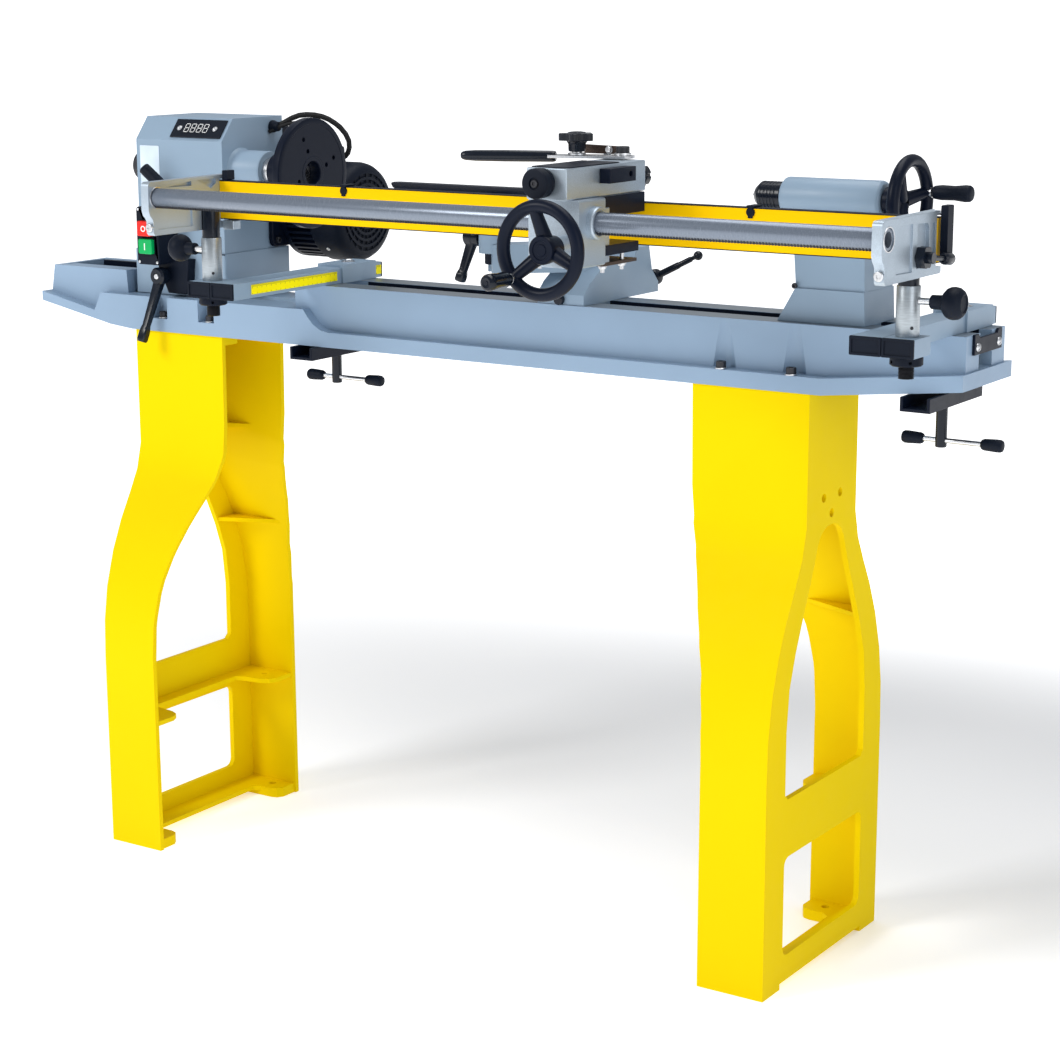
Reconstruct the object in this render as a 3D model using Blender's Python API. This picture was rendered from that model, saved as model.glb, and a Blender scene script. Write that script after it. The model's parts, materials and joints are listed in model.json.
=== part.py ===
"""Wood turning lathe with a copy attachment, built as separate pieces with real joints.

All the driving dimensions are in millimetres about the spindle line: X runs from the headstock to the
tailstock, -Y is the operator's side, Z is up from the floor. put() moves them to the part's own origin.
"""

import math

import bmesh
import bpy
from mathutils import Vector

MM = 0.001
GAP = 0.3
ORIGIN_X = 42.75
ORIGIN_Y = -129.0

# bed
AXIS_Z = 1007.0
BED_TOP = 856.0
BED_BOTTOM = 772.0
BED_LEFT = -741.0
BED_RIGHT = 761.0
WAY_HALF = 57.0
LIP_HALF = 75.0
SLOT_HALF = 18.0
CAVITY_HALF = 47.0
CAVITY_TOP = 836.0
SEAT_TOP = 823.0
SEAT_END = -262.0

# legs
LEG_OUT = 557.0
LEG_WALL = 8.0
LEG_TOP = 771.7
LEG_OUTLINE = (
    (70, 771.7), (70, 600), (80, 562), (97, 530), (119, 492), (139, 448), (155, 396), (163, 345),
    (165, 290), (165, 0),
)
LEG_INNER = (
    (391, 775), (392, 640), (396, 590), (407, 552), (424, 508), (440, 462), (453, 415), (460, 360),
    (462, 300), (461, -1),
)

# headstock
HEAD_L = -568.0
HEAD_R = -404.0
HEAD_FRONT = -42.0
HEAD_BACK = 96.0
HEAD_TOP = 1081.0
MOTOR_Y = 145.0
MOTOR_Z = 940.0
PULLEY_L = -500.0
PULLEY_R = -470.0

# tailstock and rest
QUILL_R = 16.0
BARREL_R = 24.5
WHEEL_X = 652.0
BANJO_X = 183.0
HUB_X = 93.0
HUB_Y = -85.0

# copy attachment
TUBE_Y = -330.0
TUBE_Z = 996.0
TUBE_R = 12.5
POST_Y = -232.0
POST_L = -264.5
POST_R = 758.5
PLATE_L = -283.0
PLATE_R = 765.5
PLATE_T = 12.5
CLAMP_Y = -10.0
BAR_TOP = 878.0
PINION_X = 388.0
PINION_Z = 971.0


def put(x, y, z):
    return Vector(((x - ORIGIN_X) * MM, (y - ORIGIN_Y) * MM, z * MM))


def shape(points, faces):
    """A closed mesh object from points in machine millimetres."""
    mesh = bpy.data.meshes.new("shape")
    mesh.from_pydata([put(*p) for p in points], [], faces)
    tidy(mesh)
    obj = bpy.data.objects.new("shape", mesh)
    bpy.context.scene.collection.objects.link(obj)
    return obj


def tidy(mesh):
    bm = bmesh.new()
    bm.from_mesh(mesh)
    bmesh.ops.remove_doubles(bm, verts=bm.verts, dist=2e-6)
    bmesh.ops.dissolve_degenerate(bm, edges=bm.edges, dist=2e-6)
    bmesh.ops.recalc_face_normals(bm, faces=bm.faces)
    bm.to_mesh(mesh)
    bm.free()


def place(axis, t, u, v):
    """A point at t along the axis, with the two other coordinates in alphabetical order."""
    if axis == "X":
        return (t, u, v)
    if axis == "Y":
        return (u, t, v)
    return (u, v, t)


def prism(axis, outline, low, high):
    n = len(outline)
    points = [place(axis, low, u, v) for u, v in outline]
    points += [place(axis, high, u, v) for u, v in outline]
    faces = [list(range(n)), list(range(n, 2 * n))]
    faces += [[i, (i + 1) % n, n + (i + 1) % n, n + i] for i in range(n)]
    return shape(points, faces)


def box(x0, x1, y0, y1, z0, z1):
    return prism("Z", ((x0, y0), (x1, y0), (x1, y1), (x0, y1)), z0, z1)


def spin(start, direction, profile, n=20, ring=False, turn=0.0):
    """A solid of revolution: profile holds (distance along direction, radius)."""
    d = Vector(direction).normalized()
    side = d.orthogonal().normalized() if abs(d.z) > 0.99 or abs(d.z) < 1e-6 else d.cross(Vector((0, 0, 1))).normalized()
    if abs(d.z) < 1e-6:
        side = Vector((0, 0, 1))
    other = d.cross(side)
    base = Vector(start)
    points = []
    rows = []
    for t, r in profile:
        if r == 0:
            rows.append([len(points)])
            points.append(tuple(base + d * t))
            continue
        rows.append(list(range(len(points), len(points) + n)))
        for i in range(n):
            a = 2 * math.pi * i / n + turn
            points.append(tuple(base + d * t + (side * math.cos(a) + other * math.sin(a)) * r))
    faces = []
    pairs = list(zip(rows, rows[1:]))
    if ring:
        pairs.append((rows[-1], rows[0]))
    for a, b in pairs:
        for i in range(n):
            j = (i + 1) % n
            if len(a) == 1:
                faces.append([a[0], b[i], b[j]])
            elif len(b) == 1:
                faces.append([a[i], a[j], b[0]])
            else:
                faces.append([a[i], a[j], b[j], b[i]])
    if not ring:
        for row in (rows[0], rows[-1]):
            if len(row) > 1:
                faces.append(row)
    return shape(points, faces)


def rod(axis, u, v, low, high, r, n=20, inner=0.0, turn=0.0):
    """A cylinder, or a tube, along an axis."""
    start = place(axis, 0, u, v)
    direction = place(axis, 1, 0, 0)
    if inner:
        return spin(start, direction, ((low, inner), (low, r), (high, r), (high, inner)), n, True, turn)
    return spin(start, direction, ((low, r), (high, r)), n, False, turn)


def between(p, q, r0, r1=None, n=16):
    p = Vector(p)
    q = Vector(q)
    return spin(p, q - p, ((0, r0), ((q - p).length, r0 if r1 is None else r1)), n)


def rounded(u0, u1, v0, v1, r, n=4):
    """A rectangle's outline with rounded corners."""
    points = []
    for cu, cv, a0 in (
        (u1 - r, v0 + r, -90), (u1 - r, v1 - r, 0), (u0 + r, v1 - r, 90), (u0 + r, v0 + r, 180),
    ):
        for i in range(n + 1):
            a = math.radians(a0 + 90 * i / n)
            points.append((cu + r * math.cos(a), cv + r * math.sin(a)))
    return points


def torus(axis, t, u, v, big, small, n=28, m=8):
    profile = []
    for i in range(m):
        a = 2 * math.pi * i / m
        profile.append((t + small * math.cos(a), big + small * math.sin(a)))
    return spin(place(axis, 0, u, v), place(axis, 1, 0, 0), profile, n, True)


def combine(target, tool, operation):
    modifier = target.modifiers.new("step", "BOOLEAN")
    modifier.operation = operation
    modifier.solver = "EXACT"
    modifier.object = tool
    graph = bpy.context.evaluated_depsgraph_get()
    mesh = bpy.data.meshes.new_from_object(target.evaluated_get(graph))
    target.modifiers.clear()
    old = target.data
    target.data = mesh
    bpy.data.meshes.remove(old)
    bpy.data.objects.remove(tool)


def node(name, solids, cuts=(), smooth=30.0):
    """Joins the solids into one piece, takes the cuts out of it and names it."""
    target = solids[0]
    for extra in solids[1:]:
        combine(target, extra, "UNION")
    for cutter in cuts:
        combine(target, cutter, "DIFFERENCE")
    tidy(target.data)
    target.name = name
    target.data.name = name
    for polygon in target.data.polygons:
        polygon.use_smooth = True
    bm = bmesh.new()
    bm.from_mesh(target.data)
    for edge in bm.edges:
        edge.smooth = edge.calc_face_angle(math.pi) < math.radians(smooth)
    bm.to_mesh(target.data)
    bm.free()
    return target


def clear_scene():
    for obj in list(bpy.data.objects):
        bpy.data.objects.remove(obj)


# ---------------------------------------------------------------- bed and legs


def make_bed():
    lip = prism(
        "Y",
        (
            (BED_LEFT, 803), (-602, 776), (-560, BED_BOTTOM), (573, BED_BOTTOM), (BED_RIGHT, 792),
            (BED_RIGHT, 812), (573, 793), (-192, 793), (-206, 795.5), (-219, 803), (-229, 814),
            (-236, SEAT_TOP), (-621, SEAT_TOP - 1), (-635, 795), (BED_LEFT, 817),
        ),
        -LIP_HALF,
        LIP_HALF,
    )
    lip.name = "lip"
    walls = prism(
        "Y",
        ((SEAT_END, 780), (560, 780), (757, 800), (757, BED_TOP), (SEAT_END, BED_TOP)),
        -WAY_HALF - 2,
        WAY_HALF + 2,
    )
    block = prism(
        "Y", ((-738, 812), (-640, 792), (-579, 792), (-584, BED_TOP), (-730, BED_TOP)), -WAY_HALF, WAY_HALF
    )
    cuts = [
        box(SEAT_END - 40, 770, -SLOT_HALF, SLOT_HALF, 820, 870),
        box(SEAT_END + 14, 742, -CAVITY_HALF, CAVITY_HALF, 760, CAVITY_TOP),
        box(735, 770, -20, 20, 812, 830),
        box(-590, SEAT_END - 14, -CAVITY_HALF, CAVITY_HALF, 760, 806),
        box(-596, SEAT_END + 20, -SLOT_HALF + 1, SLOT_HALF - 1, 800, 830),
        box(-720, -560, -41, 41, 815, 822.8),
        box(-720, -560, -41, 41, 820, 870),
    ]
    for x in (431, 530):
        for side in (-1, 1):
            cuts.append(spin((x, side * 70, 793.5), (0, 0, 1), ((0, 20), (62.8, 12)), 20))
    for x in (-505, -416):
        for side in (-1, 1):
            cuts.append(prism("Z", rounded(x - 15, x + 15, side * 67.5 - 12.5, side * 67.5 + 12.5, 3), 791, 830))
    bed = node("bed", [lip, walls, block], cuts)
    ties = [
        box(-590, -560, -50, 50, 773, 789),
        box(-60, -40, -50, 50, 773, 789),
        box(300, 320, -50, 50, 773, 789),
        box(410, 440, -50, 50, 773, 789),
        box(530, 556, -50, 50, 773, 789),
    ]
    return node("bed", [bed] + ties)


def make_leg(name, side):
    """A cast leg of C section: a web with two windows, and a flange along each edge."""

    def across(low, high):
        return sorted((side * low, side * high))

    outline = [(-a, b) for a, b in LEG_OUTLINE] + [(a, b) for a, b in reversed(LEG_OUTLINE)]
    solids = [prism("X", outline, side * (LEG_OUT - LEG_WALL), side * LEG_OUT)]
    for s in (-1, 1):
        band = [(s * a, b) for a, b in LEG_OUTLINE] + [(s * (a - 7.5), b) for a, b in reversed(LEG_OUTLINE)]
        solids.append(prism("X", band, side * 388, side * (LEG_OUT - 3)))
    inner = [(350, 780), (390.9, 780)] + list(LEG_INNER) + [(350, -1)]
    cuts = [prism("Y", [(side * a, b) for a, b in inner], -175, 175)]
    right = (
        (113, 345), (107, 400), (92, 445), (72, 490), (56, 524), (44, 553), (36, 574), (28, 585), (16, 592),
        (5, 594),
    )
    arch = [(-113, 262), (-106, 255), (106, 255), (113, 262)] + list(right)
    arch += [(-a, b) for a, b in reversed(right)]
    cuts.append(prism("X", arch, *across(545, 561)))
    cuts.append(prism("X", rounded(-112, 112, 43, 177, 12), *across(545, 561)))
    for y, z in ((-23, 632), (23, 632), (0, 609)):
        cuts.append(rod("X", y, z, *across(540, 561), 6, 12))
    cuts.append(box(*across(540, 561), -118, 118, -2, 8))
    body = node(name, solids, cuts)
    extras = [box(*across(526, 553), -152, 152, 193, 200), box(*across(512, 553), -152, 152, 8, 15)]
    holes = []
    for s in (-1, 1):
        shelf = (
            (553, 160), (464, 160), (464, 122), (470, 110), (484, 103), (510, 100), (524, 95),
            (532, 86), (553, 86),
        )
        extras.append(prism("Z", [(side * a, s * b) for a, b in shelf], 193, 200))
        foot = (
            (553, 163), (464, 163), (464, 130), (470, 121), (480, 118), (500, 118), (512, 110),
            (553, 110),
        )
        extras.append(prism("Z", [(side * a, s * b) for a, b in foot], 8, 15))
        extras.append(prism("Z", [(side * a, s * b) for a, b in foot[:6] + ((553, 118),)], 0, 15))
        extras.append(box(*across(396, 553), *sorted((s * 30, s * 67)), 757, LEG_TOP))
        for z, y, reach in ((612, 65, 446), (450, 131, 455)):
            gusset = ((553, y), (reach, y), (553, y - 42))
            extras.append(prism("Z", [(side * a, s * b) for a, b in gusset], z, z + 6))
        holes.append(rod("Z", side * 494, s * 140, -2, 18, 6, 12))
        holes.append(rod("Z", side * 496, s * 130, 188, 205, 5, 12))
    node(name, [body] + extras, holes)


def make_legs():
    make_leg("leg_left", -1)
    make_leg("leg_right", 1)


# ---------------------------------------------------------------- headstock


def make_headstock():
    body = prism(
        "X",
        ((HEAD_FRONT, 880), (HEAD_BACK, 880), (HEAD_BACK, HEAD_TOP), (-16, HEAD_TOP), (HEAD_FRONT, 1049)),
        HEAD_L,
        HEAD_R,
    )
    base = prism("Z", rounded(-576, -402, -45, 105, 4), SEAT_TOP + GAP, 888)
    boss = rod("X", 0, AXIS_Z, HEAD_R - 6, -350, 28, 36)
    cuts = [
        box(-556, -416, -35, 84, 902, 1046),
        box(-556, -416, -20, 84, 1040, 1067),
        rod("X", 0, AXIS_Z, -580, -550, 20, 32),
        rod("X", 0, AXIS_Z, -420, -372, 24, 32),
        rod("X", 0, AXIS_Z, -380, -345, 17, 32),
        box(-512, -458, 80, 100, 905, 1052),
    ]
    node("headstock", [body, base, boss], cuts)


def make_switches():
    shell = prism("Y", rounded(-532, -490, 871, 955, 5), -88, -45 - GAP)
    cuts = [
        box(-524.4, -497.6, -95, -78, 912.6, 935.4),
        box(-524.4, -497.6, -95, -78, 886.6, 909.4),
    ]
    node("switch_box", [shell], cuts)
    node("stop_button", [prism("Y", rounded(-523.9, -498.1, 913.1, 934.9, 3), -97, -82)])
    node("start_button", [prism("Y", rounded(-523.9, -498.1, 887.1, 908.9, 3), -95, -82)])


def make_ratchet(name, pivot, axis, arm_end, stud, reach):
    """A ratchet clamping lever: a hub on its stud and a tapering arm."""
    p = Vector(pivot)
    d = Vector(axis).normalized()
    hub = spin(p, d, ((0, 5), (stud, 5), (stud, 11), (reach, 13), (reach + 6, 10)), 20)
    tip = Vector(arm_end)
    start = p + d * (reach - 4)
    arm = between(start, tip, 8, 6, 12)
    end = between(tip - (tip - start).normalized() * 6, tip + (tip - start).normalized() * 16, 7.5, 7.5, 12)
    node(name, [hub, arm, end])


def make_head_levers():
    make_ratchet("headstock_lever", (-500, -45 - GAP, 854), (0, -1, 0), (-514, -98, 775), 18, 34)
    hub = rod("Y", -478, 962, -60, HEAD_FRONT - GAP, 9, 20)
    stem = between((-478, -55, 962), (-508, -66, 990), 4, 4, 12)
    grip = between((-504, -64, 986), (-529, -73, 1011), 8.5, 9, 20)
    node("speed_lever", [hub, stem, grip])


def make_spindle():
    profile = (
        (-600, 0), (-600, 12.5), (-553, 12.5), (-553, 15), (-351, 15), (-349.5, 16), (-349.5, 20),
        (-337, 20), (-337, 16.4), (-290, 16.4), (-290, 9), (-380, 7.5), (-380, 0),
    )
    node("spindle", [spin((0, 0, AXIS_Z), (1, 0, 0), profile, 32)])
    node("front_bearing", [rod("X", 0, AXIS_Z, -396, -375, 23.7, 32, 15.3)])
    node("rear_bearing", [rod("X", 0, AXIS_Z, -567.5, -556.5, 19.7, 32, 12.8)])
    groove = (
        (PULLEY_L, 15.3), (PULLEY_L, 32), (-497, 32), (-496, 29), (-474, 29), (-473, 32),
        (PULLEY_R, 32), (PULLEY_R, 15.3),
    )
    node("spindle_pulley", [spin((0, 0, AXIS_Z), (1, 0, 0), groove, 36, True)])
    disc = (
        (-336.5, 17), (-336.5, 26), (-300, 27), (-286, 40), (-284, 77), (-283, 78), (-272, 78),
        (-271, 77), (-271, 17),
    )
    holes = []
    for k in range(4):
        a = math.pi / 4 + k * math.pi / 2
        holes.append(rod("X", 55 * math.cos(a), AXIS_Z + 55 * math.sin(a), -330, -265, 3.5, 12))
        holes.append(rod("X", 36 * math.cos(a + 0.5), AXIS_Z + 36 * math.sin(a + 0.5), -330, -265, 3, 12))
    node("faceplate", [spin((0, 0, AXIS_Z), (1, 0, 0), disc, 40, True)], holes)


def make_motor():
    plate = prism("X", rounded(58, 214, 890, 1010, 10), HEAD_R + GAP, -395.7)
    node("motor_plate", [plate], [rod("X", MOTOR_Y, MOTOR_Z, -410, -390, 14, 24)])
    fins = []
    count = 20
    for k in range(count):
        a = 2 * math.pi * k / count
        step = 2 * math.pi / count
        for r, da in ((62, -0.30), (70, -0.16), (70, 0.16), (62, 0.30)):
            fins.append((MOTOR_Y + r * math.cos(a + da * step), MOTOR_Z + r * math.sin(a + da * step)))
    frame = prism("X", fins, -389, -342)
    flange = rod("X", MOTOR_Y, MOTOR_Z, -395.4, -386, 70, 32)
    spigot = rod("X", MOTOR_Y, MOTOR_Z, -345, -340, 60, 32)
    terminal = prism("X", rounded(MOTOR_Y - 26, MOTOR_Y + 26, 1000, 1034, 4), -386, -346)
    node("motor", [frame, flange, spigot, terminal], [rod("X", MOTOR_Y, MOTOR_Z, -400, -372, 10, 24)])
    cover = (
        (-339.7, 0), (-339.7, 73), (-300, 73), (-290, 69), (-286, 60), (-286, 54), (-289, 54), (-289, 48),
        (-286, 48), (-286, 40), (-289, 40), (-289, 34), (-286, 34), (-286, 26), (-289, 26), (-289, 20),
        (-286, 20), (-286, 0),
    )
    node("motor_fan_cover", [spin((0, MOTOR_Y, MOTOR_Z), (1, 0, 0), cover, 28)])
    turned = (
        (-508, 0), (-508, 9.5), (PULLEY_L, 9.5), (PULLEY_L, 27), (-497, 27), (-496, 24), (-474, 24),
        (-473, 27), (PULLEY_R, 27), (PULLEY_R, 9.5), (-375, 9.5), (-375, 0),
    )
    node("motor_shaft", [spin((0, MOTOR_Y, MOTOR_Z), (1, 0, 0), turned, 32)])


def belt_loop(grow):
    """The belt's outline round both pulleys, grown outwards from their grooves."""
    dy = MOTOR_Y
    dz = MOTOR_Z - AXIS_Z
    length = math.hypot(dy, dz)
    base = math.atan2(dz, dy)
    big = 29.4 + grow
    small = 24.4 + grow
    lean = math.acos((29.4 - 24.4) / length)
    points = []
    for i in range(17):
        a = base + lean + (2 * math.pi - 2 * lean) * i / 16
        points.append((big * math.cos(a), AXIS_Z + big * math.sin(a)))
    for i in range(11):
        a = base - lean + 2 * lean * i / 10
        points.append((MOTOR_Y + small * math.cos(a), MOTOR_Z + small * math.sin(a)))
    return points


def make_belt():
    outer = belt_loop(4)
    inner = belt_loop(0)
    n = len(outer)
    x0 = -494.0
    x1 = -476.0
    points = [(x0, *p) for p in outer] + [(x0, *p) for p in inner]
    points += [(x1, *p) for p in outer] + [(x1, *p) for p in inner]
    faces = []
    for i in range(n):
        j = (i + 1) % n
        faces.append([i, j, n + j, n + i])
        faces.append([2 * n + i, 2 * n + j, 3 * n + j, 3 * n + i])
        faces.append([i, j, 2 * n + j, 2 * n + i])
        faces.append([n + i, n + j, 3 * n + j, 3 * n + i])
    node("drive_belt", [shape(points, faces)])
    outside = prism("X", rounded(HEAD_BACK + GAP, 186, 892, 1060, 8), -518, -452)
    inside = prism("X", rounded(80, 183, 895, 1057, 6), -515, -455)
    node("belt_cover", [outside], [inside, rod("X", MOTOR_Y, MOTOR_Z, -460, -440, 13, 24)])


def smooth_route(anchors, spacing):
    """Points along a Catmull-Rom curve through the anchors."""
    ends = [anchors[0] * 2 - anchors[1]] + anchors + [anchors[-1] * 2 - anchors[-2]]
    points = []
    for a, b, c, d in zip(ends, ends[1:], ends[2:], ends[3:]):
        steps = max(2, round((c - b).length / spacing))
        for i in range(steps):
            t = i / steps
            points.append(
                0.5 * (2 * b + (c - a) * t + (2 * a - 5 * b + 4 * c - d) * t**2 + (3 * b - a - 3 * c + d) * t**3)
            )
    points.append(anchors[-1])
    return points


def make_cable():
    """The motor's lead, from the headstock's side over to the motor's terminal box."""
    route = (
        (HEAD_R + 1.2, 72, 1066), (-392, 75, 1068), (-368, 92, 1082), (-342, 113, 1080), (-322, 130, 1064),
        (-314, 140, 1044), (-320, 145, 1026), (-332, 145, 1018), (-344.8, 145, 1017),
    )
    curve = bpy.data.curves.new("motor_cable", "CURVE")
    curve.dimensions = "3D"
    curve.bevel_depth = 4 * MM
    curve.bevel_resolution = 2
    curve.use_fill_caps = True
    points = smooth_route([put(*p) for p in route], 10 * MM)
    spline = curve.splines.new("POLY")
    spline.points.add(len(points) - 1)
    for point, co in zip(spline.points, points):
        point.co = (*co, 1)
    obj = bpy.data.objects.new("motor_cable", curve)
    bpy.context.scene.collection.objects.link(obj)


# ---------------------------------------------------------------- tailstock


def make_tailstock():
    neck = prism(
        "Y", ((496, BED_TOP + GAP), (616, BED_TOP + GAP), (614, 898), (611, 1000), (512, 1000), (520, 898)), -43, 43
    )
    for s in (-1, 1):
        shoulder = (
            (s * 60, 950), (s * 43, 950), (s * 36, 972), (s * 20, 990), (s * 20, 1010),
            (s * 60, 1010),
        )
        combine(neck, prism("X", shoulder, 480, 640), "DIFFERENCE")
    barrel = spin((0, 0, AXIS_Z), (1, 0, 0), ((483, 21), (486, BARREL_R), (616.5, BARREL_R), (619.5, 21)), 36)
    key = box(502, 610, -SLOT_HALF + 0.5, SLOT_HALF - 0.5, 846, 862)
    cuts = [
        rod("X", 0, AXIS_Z, 465, 580, QUILL_R + GAP, 32),
        rod("X", 0, AXIS_Z, 570, 630, 9, 24),
        rod("Z", 560, 0, 840, 880, 6.4, 16),
    ]
    node("tailstock", [neck, barrel, key], cuts)
    tube = (
        (482.2, 0), (482.2, 15), (483.2, QUILL_R), (575, QUILL_R), (576, 15), (576, 6.5),
        (522, 6.5), (522, 0),
    )
    node("quill", [spin((0, 0, AXIS_Z), (1, 0, 0), tube, 32)], [rod("X", 0, AXIS_Z, 465, 508, 8.3, 24)])
    centre = (
        (441.5, 0), (441.5, 9), (444, 13), (449, 16.5), (452, 18), (481.9, 18), (481.9, 8),
        (503, 7.2), (503, 0),
    )
    node("live_centre", [spin((0, 0, AXIS_Z), (1, 0, 0), centre, 28)], [rod("X", 0, AXIS_Z, 436, 457, 6.3, 20)])
    point = ((435, 0), (441, 5.2), (441, 6), (455.5, 6), (455.5, 0))
    node("centre_point", [spin((0, 0, AXIS_Z), (1, 0, 0), point, 20)])


def make_wheel(name, axis, t, u, v, big, small, hub, angles, dish, core):
    """A spoked handwheel about an axis; core holds the solids on its shaft."""
    solids = [hub, torus(axis, t, u, v, big, small)]
    for a in angles:
        c = math.cos(math.radians(a))
        s = math.sin(math.radians(a))
        p = place(axis, t + dish, u + 4 * c, v + 4 * s)
        q = place(axis, t, u + big * c, v + big * s)
        solids.append(between(p, q, small * 0.92, small * 0.8, 10))
    return node(name, solids + core)


def make_tail_wheel():
    hub = rod("X", 0, AXIS_Z, 620.5, 645, 17, 28)
    screw = rod("X", 0, AXIS_Z, 526, 630, 6, 20)
    make_wheel("tail_handwheel", "X", WHEEL_X, 0, AXIS_Z, 50, 7.8, hub, (10, 130, 250), -12, [screw])
    grip = (
        (661.2, 3.6), (664, 3.6), (664, 8), (672, 9.5), (688, 9), (704, 10.5), (710, 9.5), (712, 6),
    )
    node("tail_handle", [spin((0, 49.2, AXIS_Z + 8.7), (1, 0, 0), grip, 20)])


def make_clamp(name, x):
    stud = rod("Z", x, 0, 820, 872, 6, 16)
    plate = prism("Z", rounded(x - 28, x + 28, -40, 40, 6), 812, 826)
    node(name, [stud, plate])


def make_back_lever(name, x, y, z, tip):
    """A locking lever on an eccentric behind a casting, with a ball end."""
    hub = rod("Y", x, z, y, y + 16, 10, 20)
    arm = between((x, y + 9, z), tip, 5, 3.8, 12)
    ball = spin(tip, (0, 1, 0), ((-6.5, 0), (-5.5, 3.6), (0, 6.5), (5.5, 3.6), (6.5, 0)), 14)
    node(name, [hub, arm, ball])


# ---------------------------------------------------------------- tool rest


def make_banjo():
    outline = (
        (-57, BED_TOP + GAP), (136, BED_TOP + GAP), (136, 870), (119, 888), (111, 921), (82, 921), (66, 904),
        (-8, 904), (-42, 884), (-57, 870),
    )
    base = prism("X", outline, BANJO_X - 36, BANJO_X + 36)
    arm = prism("Z", ((176, 22), (214, -4), (104, -99), (81, -76)), 896, 934)
    hub = rod("Z", HUB_X, HUB_Y, 922, 952, 17, 28)
    key = box(152, 214, -SLOT_HALF + 0.5, SLOT_HALF - 0.5, 846, 862)
    cuts = [
        rod("Z", HUB_X, HUB_Y, 880, 960, 9.3, 24),
        rod("Z", BANJO_X, 0, 840, 880, 6.4, 16),
        rod("X", HUB_Y, 941, 60, HUB_X, 5.3, 16),
    ]
    node("banjo", [base, arm, hub, key], cuts)


def make_tool_rest():
    stem = rod("Z", HUB_X, HUB_Y, 909, 975, 9, 24)
    ledge = prism(
        "X",
        ((-99, 1009), (-77, 1009), (-77, 1004), (-81.5, 1000), (-81.5, 986), (-88.5, 986),
        (-88.5, 1000), (-99, 1004)),
        -60,
        246,
    )
    gusset = prism("Y", ((-52, 1001), (-52, 989), (62, 964), (124, 964), (238, 989), (238, 1001)), -88, -82)
    node("tool_rest", [gusset, ledge, stem])
    make_ratchet("rest_lever", (81.6, HUB_Y, 941), (-1, 0, 0), (50, -92, 892), 6, 22)


# ---------------------------------------------------------------- copy attachment


def make_bar(name, x0, x1, s0, s1, post, bolt):
    """The long cross bar with its clamping collar and the short stub that carries the post."""
    low = BED_TOP + GAP
    bar = box(x0, x1, -256, 72, low, BAR_TOP)
    collar = box(x0 - 3, x1 + 3, -22, 56, low, BAR_TOP + 4)
    stub = box(s0, s1, -256, -212, low, BAR_TOP)
    web = box(min(x1, s1) - 4, max(x0, s0) + 4, -250, -218, low + 4, BAR_TOP - 4)
    cuts = [
        box(x0 + 2.5, x1 - 2.5, -270, 80, low + 2.5, BAR_TOP - 2.5),
        rod("Z", bolt, CLAMP_Y, 850, 867, 5.8, 16),
        rod("Z", post, POST_Y, 850, 890, 10.8, 24),
    ]
    node(name, [bar, collar, stub, web], cuts)


def make_post_set(side, x, out):
    """A post in its sleeve, the sleeve's nut under the bar, and the knob that locks the post."""
    turned = (
        (830, 0), (830, 8.2), (832, 9.3), (846, 9.3), (846, 19), (856, 19), (856, 10.5),
        (BAR_TOP + GAP, 10.5),
        (BAR_TOP + GAP, 12.6), (936, 12.6), (936, 11.2), (882, 11.2), (882, 0),
    )
    hole = rod("X", POST_Y, 919, *sorted((x + out * 5, x + out * 20)), 4.3, 12)
    node("sleeve_" + side, [spin((x, POST_Y, 0), (0, 0, 1), turned, 20)], [hole])
    node("post_" + side, [rod("Z", x, POST_Y, 894, 974, 10.9, 28)])
    knob = (
        (11.2, 0), (11.2, 4), (34, 4), (34, 8), (45, 8.5), (49, 12), (53, 16.5), (57, 18.6), (62, 18.6),
        (66, 16), (68, 11), (68, 0),
    )
    node("post_knob_" + side, [spin((x, POST_Y, 919), (out, 0, 0), knob, 24)])


def make_bracket(name, x0, x1, post):
    outline = (
        (-340, 947), (-192, 947), (-192, 954), (-204.3, 955), (-204.3, 1012), (-192, 1012.5), (-192, 1017.5),
        (-344, 1016), (-348, 1012), (-348, 978), (-340, 968),
    )
    plate = prism("X", outline, x0, x1)
    cuts = [rod("X", TUBE_Y, TUBE_Z, x0 - 5, x1 + 5, TUBE_R + GAP, 28), rod("Z", post, POST_Y, 940, 975, 11.2, 28)]
    return node(name, [plate], cuts)


def make_gantry():
    left = (PLATE_L, PLATE_L + PLATE_T)
    right = (PLATE_R, PLATE_R + PLATE_T)
    make_bracket("bracket_left", *left, POST_L)
    make_bracket("bracket_right", *right, POST_R)
    node("rack_tube", [rod("X", TUBE_Y, TUBE_Z, left[0] + 1, right[1] - 1, TUBE_R, 28, 9)])
    node("template_rail", [box(left[0] + 1, right[1], -204, -190, 958.5, 1010.5)])
    node("template_plate", [box(left[0] + 1, right[1], -190 + GAP, -178, 958.5, 1004)])
    hub = spin((right[1] + GAP, -250, 970), (1, 0, 0), ((0, 12), (7, 13), (11, 11), (11, 6), (18, 6)), 6)
    pin = between((right[1] + 14, -250, 970), (right[1] + 14, -206, 965), 3, 3, 10)
    ball = spin((right[1] + 14, -214, 966), (0, 1, 0), ((0, 4), (2, 7), (20, 8), (23, 4)), 16)
    node("template_lock", [hub, pin, ball])


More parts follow.
